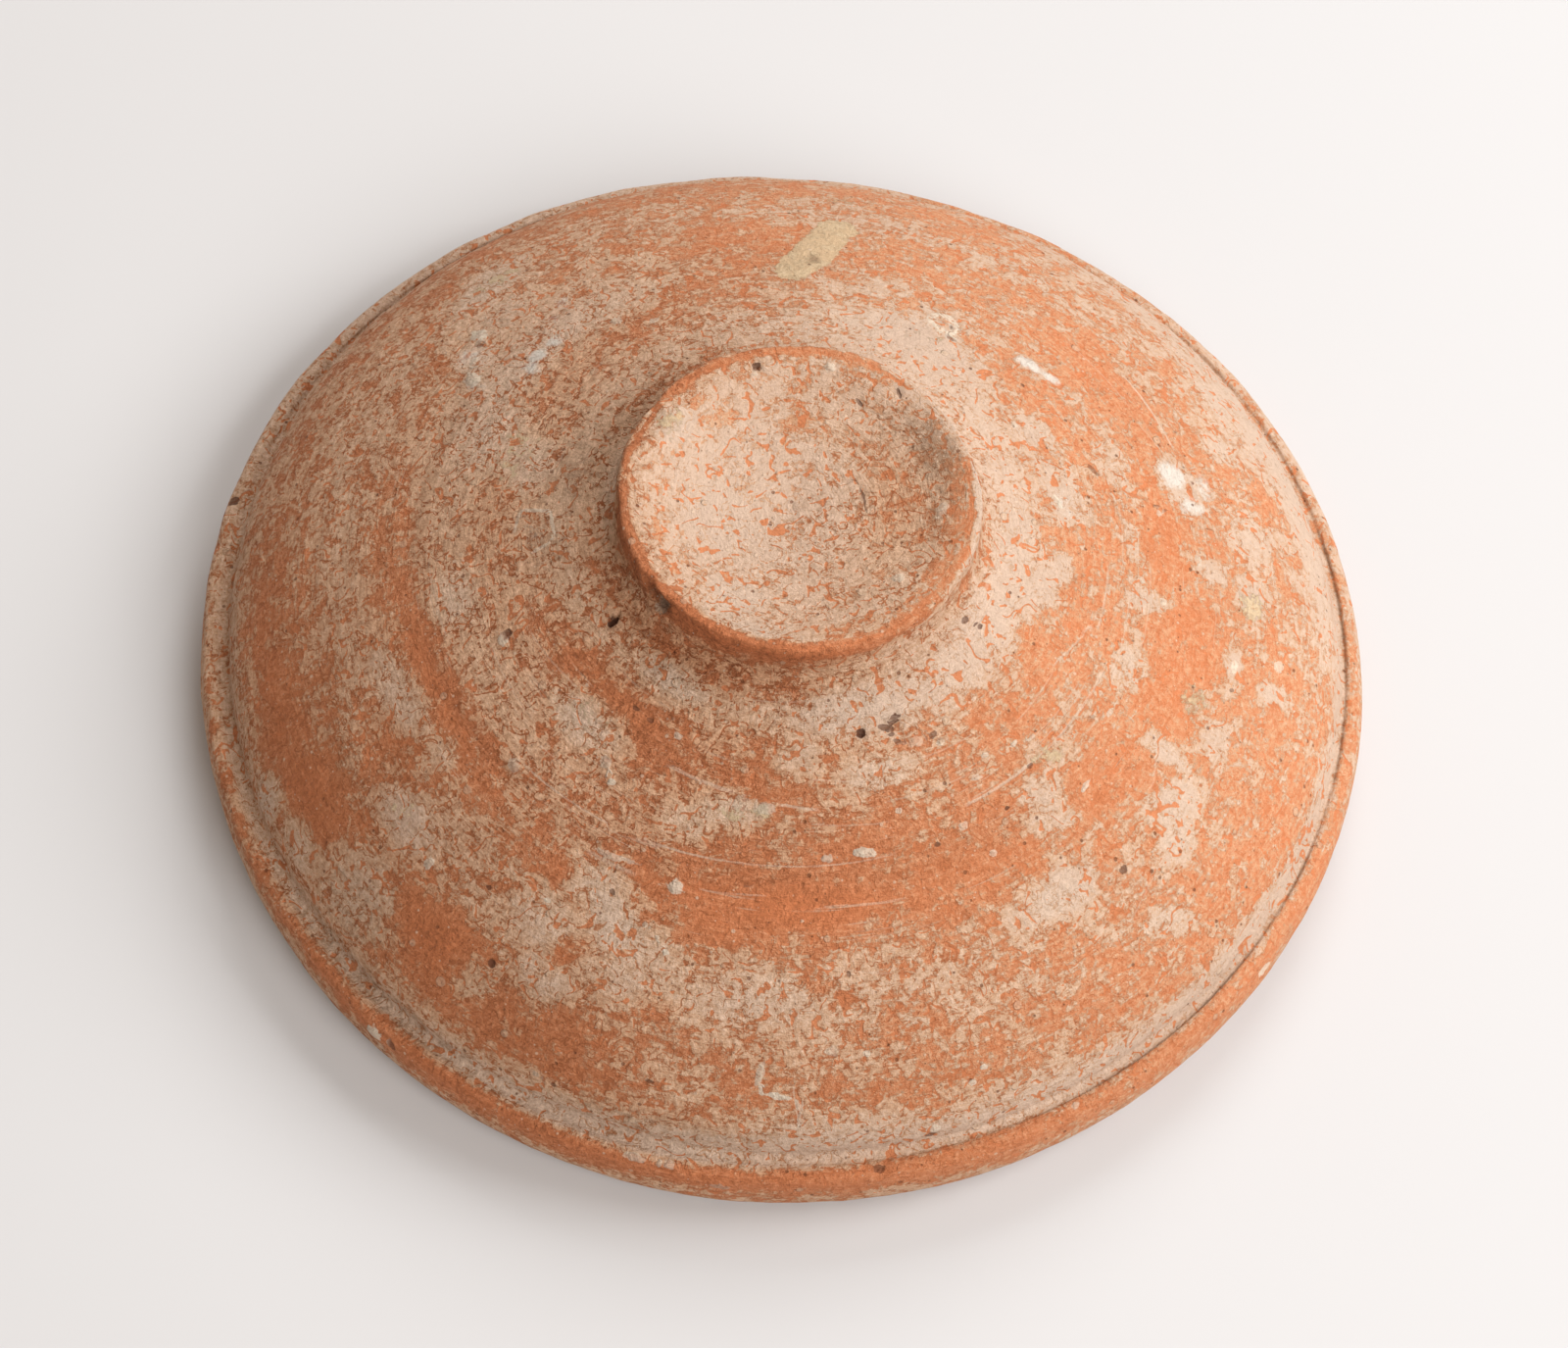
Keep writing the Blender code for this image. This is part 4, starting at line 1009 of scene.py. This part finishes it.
# %% Scratches round the bowl
# Fine ones are noise drawn out along the turning, in clouds, from the neck to the middle of the wall.
SCRATCH_EDGE, CLOUD_EDGE = (0.625, 0.68), (0.47, 0.58)
LINE_WAVER, LINE_EDGE, LINE_REACH = 2.4, (0.5, 1.3), 9
scratch = ease(noise(scratch_place, 0.75, 2, 0.7), *SCRATCH_EDGE)
scratch = times(scratch, ease(noise(place, 9.0, 3, 0.6), *CLOUD_EDGE))
scratch = times(scratch, ease(along_here, 32, 40))
scratch = times(scratch, ease(along_here, 62, 74, 1, 0.25))
colour = painted("scratch", scratch)
line_at, line_distance, line_strength = parts(layer("line", "Vector"))
wavy = maths("ABSOLUTE", maths("ADD", line_at, line(mottle, LINE_WAVER, -LINE_WAVER / 2)))
on_line = times(ease(wavy, *LINE_EDGE, 1, 0), line_strength)
on_line = times(on_line, maths("LESS_THAN", line_distance, LINE_REACH))
on_line = times(on_line, ease(streaks, 0.36, 0.50, 0.3, 1))
colour = painted("line", on_line)

# %% [markdown]
# ## What lies on top
#
# Deposits come last, as they did on the bowl. A layer's strength is added to flaky noise, and the sum is cut at a
# threshold. Strong places fill in, weak ones break up into flakes. Grains and pits are scattered by cells of
# random points: one point in each cell, drawn as a small disc if its random number says so.

# %% Deposits on top
fleck_lift = line(noise(place, 1.6, 6, 0.75), 1.6, -0.8)
deposits = {}
# The dirt is laid together with the painted shade that its layer holds in the groove, on the neck and on the lower
# wall.
for name, (low, high) in {"cream": (0.34, 0.50), "chalk": (0.30, 0.85), "dirt_and_shade": (0.2, 0.9)}.items():
    deposits[name] = ease(maths("ADD", layer(name), fleck_lift), low, high)
    colour = painted(name, deposits[name])

# %% Grains and pits scattered everywhere
SPECK_EDGE = 0.07


def scatter(cell, shift, smallest, largest):
    """Round specks in cells of this many mm: their mask, and one random number for each cell."""
    moved = vectors("ADD", {0: place, 1: (shift,) * 3})
    cells = finish.add("ShaderNodeTexVoronoi", {"Vector": moved, "Scale": 1 / cell, "Randomness": 1.0})
    chance = finish.add("ShaderNodeSeparateColor", {0: cells.outputs["Color"]}).outputs
    size = line(chance[1], (largest - smallest) / cell, smallest / cell)
    edge = SPECK_EDGE / cell
    speck = ease(maths("SUBTRACT", cells.outputs["Distance"], size), -edge, edge, 1, 0)
    return speck, chance[0]


# Pits are painted dark as the shade inside them, and there are more of them where the dirt and its painted shade lie.
# Cell, shift, smallest and largest radius in mm, then which specks are drawn: those whose chance passes the test.
pit_share = line(layer("dirt_and_shade"), 0.35, 0.12)
SPECKS = (
    (1.3, 0, 0.08, 0.28, {"grain": ("GREATER_THAN", 0.80), "pit": ("LESS_THAN", pit_share)}),
    (0.9, 17, 0.05, 0.15, {"dot": ("GREATER_THAN", 0.62), "fleck": ("LESS_THAN", 0.34)}),
    (4.6, 31, 0.25, 0.75, {"nodule": ("GREATER_THAN", 0.68)}),
)
specks = {}
for *sizes, tests in SPECKS:
    speck, chance = scatter(*sizes)
    for name, (test, limit) in tests.items():
        specks[name] = times(speck, maths(test, chance, limit))
        colour = painted(name, specks[name])

# %% Spots placed one by one
WAVER, SPOT_REACH = 1.5, 1.7
SPOT_EDGE, CORE_EDGE, SPOT_SLOPE = (0.8, 1.02), (0.50, 0.72), (0.2, 1.05)
waver = finish.add("ShaderNodeTexNoise", {"Vector": place, "Scale": 1 / 0.9, "Detail": 3}).outputs["Color"]
waver = vectors("MULTIPLY_ADD", {0: waver, 1: (WAVER, WAVER, 0), 2: (-WAVER / 2, -WAVER / 2, 0)})
spot = vectors("ADD", {0: layer("spot", "Vector"), 1: waver})
from_middle = vectors("LENGTH", {0: vectors("MULTIPLY", {0: spot, 1: (1, 1, 0)})}, "Value")
pale, dark, lift = parts(layer("spot_kind", "Vector"))
here = maths("LESS_THAN", parts(spot)[2], SPOT_REACH)
spot_mask = times(ease(from_middle, *SPOT_EDGE, 1, 0), here)
# Where pale is over 1 the spot is a ring round an open core.
core = times(maths("SUBTRACT", pale, 1, clamp=True), ease(from_middle, *CORE_EDGE, 1, 0))
pale_share = times(maths("MINIMUM", pale, 1), line(mottle, 1.6, 0.05))
pale_share = times(pale_share, maths("SUBTRACT", 1, core))
colour = painted("pale spot", times(spot_mask, pale_share))
# Painted shade in the low spots, and a dark stain on the others.
colour = painted("dark spot", times(spot_mask, dark))
spot_lift = times(times(lift, here), ease(from_middle, *SPOT_SLOPE, 1, 0))

# %% Fine relief, in mm
# Heights in mm where each kind of noise or mark is whole. The first group counts more on the coarse side.
coarse_grit = noise(place, 1.5, 4, 0.8)
film_height = sum_of((mottle, 0.80), (coarse_grit, 1.05), (streaks, 0.65), (islands, 0.10), (wide_cracks, 0.75),
                     (net, -0.10), (worms, -0.12))
MARK_HEIGHTS = {"grain": 0.10, "pit": -0.22, "dot": -0.06, "nodule": 0.26, "chalk": 0.08, "cream": 0.10,
                "scratch": -0.07, "line": -0.07, "spot": 1}
marks = {**specks, **deposits, "scratch": scratch, "line": on_line, "spot": spot_lift}
fine_height = sum_of((film_height, coarse), *((marks[name], size) for name, size in MARK_HEIGHTS.items()))
bump = finish.add("ShaderNodeBump", {"Height": fine_height, "Distance": MM})

# %% Put the finish on the bowl
MATT, SHEEN = 0.8, 0.2
plug_in(finish.shader, {"Base Color": colour, "Normal": bump.outputs[0], "Roughness": MATT,
                        "Specular IOR Level": SHEEN})
mesh.materials.append(finish.material)
print("finish uses", len(finish.tree.nodes), "nodes")

# %% [markdown]
# ## A flat map
#
# The finish needs no flat map, but other programs do. Cutting the bowl at its rim gives two round sheets without
# any other seam, which is the simplest map that a turned shape can have.

# %% A flat map of the bowl
# The outer side becomes a disc, as if pressed flat from above, and the plain inside a small disc in the free corner.
OUTER_MIDDLE, OUTER_HALF = 0.43, 0.42
INNER_MIDDLE, INNER_HALF = 0.84, 0.15
far_out = along / walk[starts["inside"]]
far_in = (walk[-1] - along) / (walk[-1] - walk[starts["inside"]])
direction = np.stack([np.cos(round_), np.sin(round_)], axis=-1)
outer_sheet = on_points(OUTER_MIDDLE + OUTER_HALF * far_out[..., None] * direction)
inner_sheet = on_points(INNER_MIDDLE + INNER_HALF * far_in[..., None] * direction)
corner_point = np.empty(len(mesh.loops), np.int32)
mesh.loops.foreach_get("vertex_index", corner_point)
face_size = np.empty(len(mesh.polygons), np.int32)
mesh.polygons.foreach_get("loop_total", face_size)
is_outer = on_points(outer)[corner_point]
first_corner = np.cumsum(face_size) - face_size
face_outer = np.repeat(np.logical_or.reduceat(is_outer, first_corner), face_size)
sheet = np.where(face_outer[:, None], outer_sheet[corner_point], inner_sheet[corner_point])
sheet_map = mesh.uv_layers.new(name="OFBake")
sheet_map.data.foreach_set("uv", sheet.astype(np.float32).ravel())
print("flat map from", sheet.min(axis=0).round(2), "to", sheet.max(axis=0).round(2))

# %% Tie the piece to the model
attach(clay, "root")
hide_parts("bowl")

# %% [markdown]
# ## Stage
#
# The bowl stands on plain pale paper. Three wide round lamps stand to the right, behind and in front, and the
# studio's walls give a warm dim light to the shaded side. The camera looks down steeply, as one does at a find
# on a table, and its place is measured from the bowl in millimetres.

# %% Camera
from mathutils import Matrix, Vector

LENS = 85.04
SENSOR = 36.0
CAMERA_PLACE = np.array([0.52, -265.26, 483.54])
CAMERA_RIGHT = (0.99418271, 0.09440657, 0.05184719)
CAMERA_UP = (-0.10770669, 0.87141643, 0.47857358)
lens = bpy.data.cameras.new("camera")
lens.lens = LENS
lens.sensor_width = SENSOR
lens.sensor_fit = "HORIZONTAL"
lens.clip_start = 0.01
camera = put("camera", lens)
right, up = Vector(CAMERA_RIGHT), Vector(CAMERA_UP)
turned = Matrix((right, up, right.cross(up))).transposed().to_4x4()
turned.translation = Vector((CAMERA_PLACE - [*middle[:2], 0]) * MM)
camera.matrix_world = turned
bpy.context.scene.camera = camera

# %% Floor
FLOOR_HALF = 1.5
FLOOR_COLOUR = (0.655, 0.658, 0.668, 1)
FLOOR_MATT = 0.9
floor_mesh = bpy.data.meshes.new("floor")
corners = [(x * FLOOR_HALF, y * FLOOR_HALF, 0) for x, y in ((-1, -1), (1, -1), (1, 1), (-1, 1))]
floor_mesh.from_pydata(corners, [], [(0, 1, 2, 3)])
floor = put("floor", floor_mesh)
paper = Recipe("pale_floor")
plug_in(paper.shader, {"Base Color": FLOOR_COLOUR, "Roughness": FLOOR_MATT, "Specular IOR Level": SHEEN})
floor_mesh.materials.append(paper.material)
floor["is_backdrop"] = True

# %% Light
# Direction, height above the floor in degrees, width in metres, watts.
SOFTBOXES = {"key": (12, 38, 0.7, 9.4), "side": (80, 42, 0.7, 7.6), "front": (-52, 42, 0.8, 9.6)}
LAMP_DISTANCE = 1.3
for name, (turn, lift, width, watts) in SOFTBOXES.items():
    light = bpy.data.lights.new(name, "AREA")
    light.shape = "DISK"
    light.size = width
    light.energy = watts
    lamp = put(name, light)
    turn, lift = math.radians(turn), math.radians(lift)
    spot = Vector((math.cos(lift) * math.cos(turn), math.cos(lift) * math.sin(turn), math.sin(lift))) * LAMP_DISTANCE
    lamp.matrix_world = Matrix.Translation(spot) @ spot.to_track_quat("Z", "Y").to_matrix().to_4x4()

# %% Light from the studio's walls
WALL_LIGHT, WALL_STRENGTH = (1, 0.84, 0.71, 1), 0.38
world = bpy.data.worlds.new("studio")
world.use_nodes = True
plug_in(world.node_tree.nodes["Background"], {"Color": WALL_LIGHT, "Strength": WALL_STRENGTH})
bpy.context.scene.world = world
bpy.context.scene.view_settings.view_transform = "Standard"

# %% Sizes, and finish
low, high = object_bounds()
{"cad": [list(cad_low), list(cad_high)], "visual": [list(low), list(high)]}
print("visual box, mm:", [round(v * 1000, 2) for v in (*low, *high)])
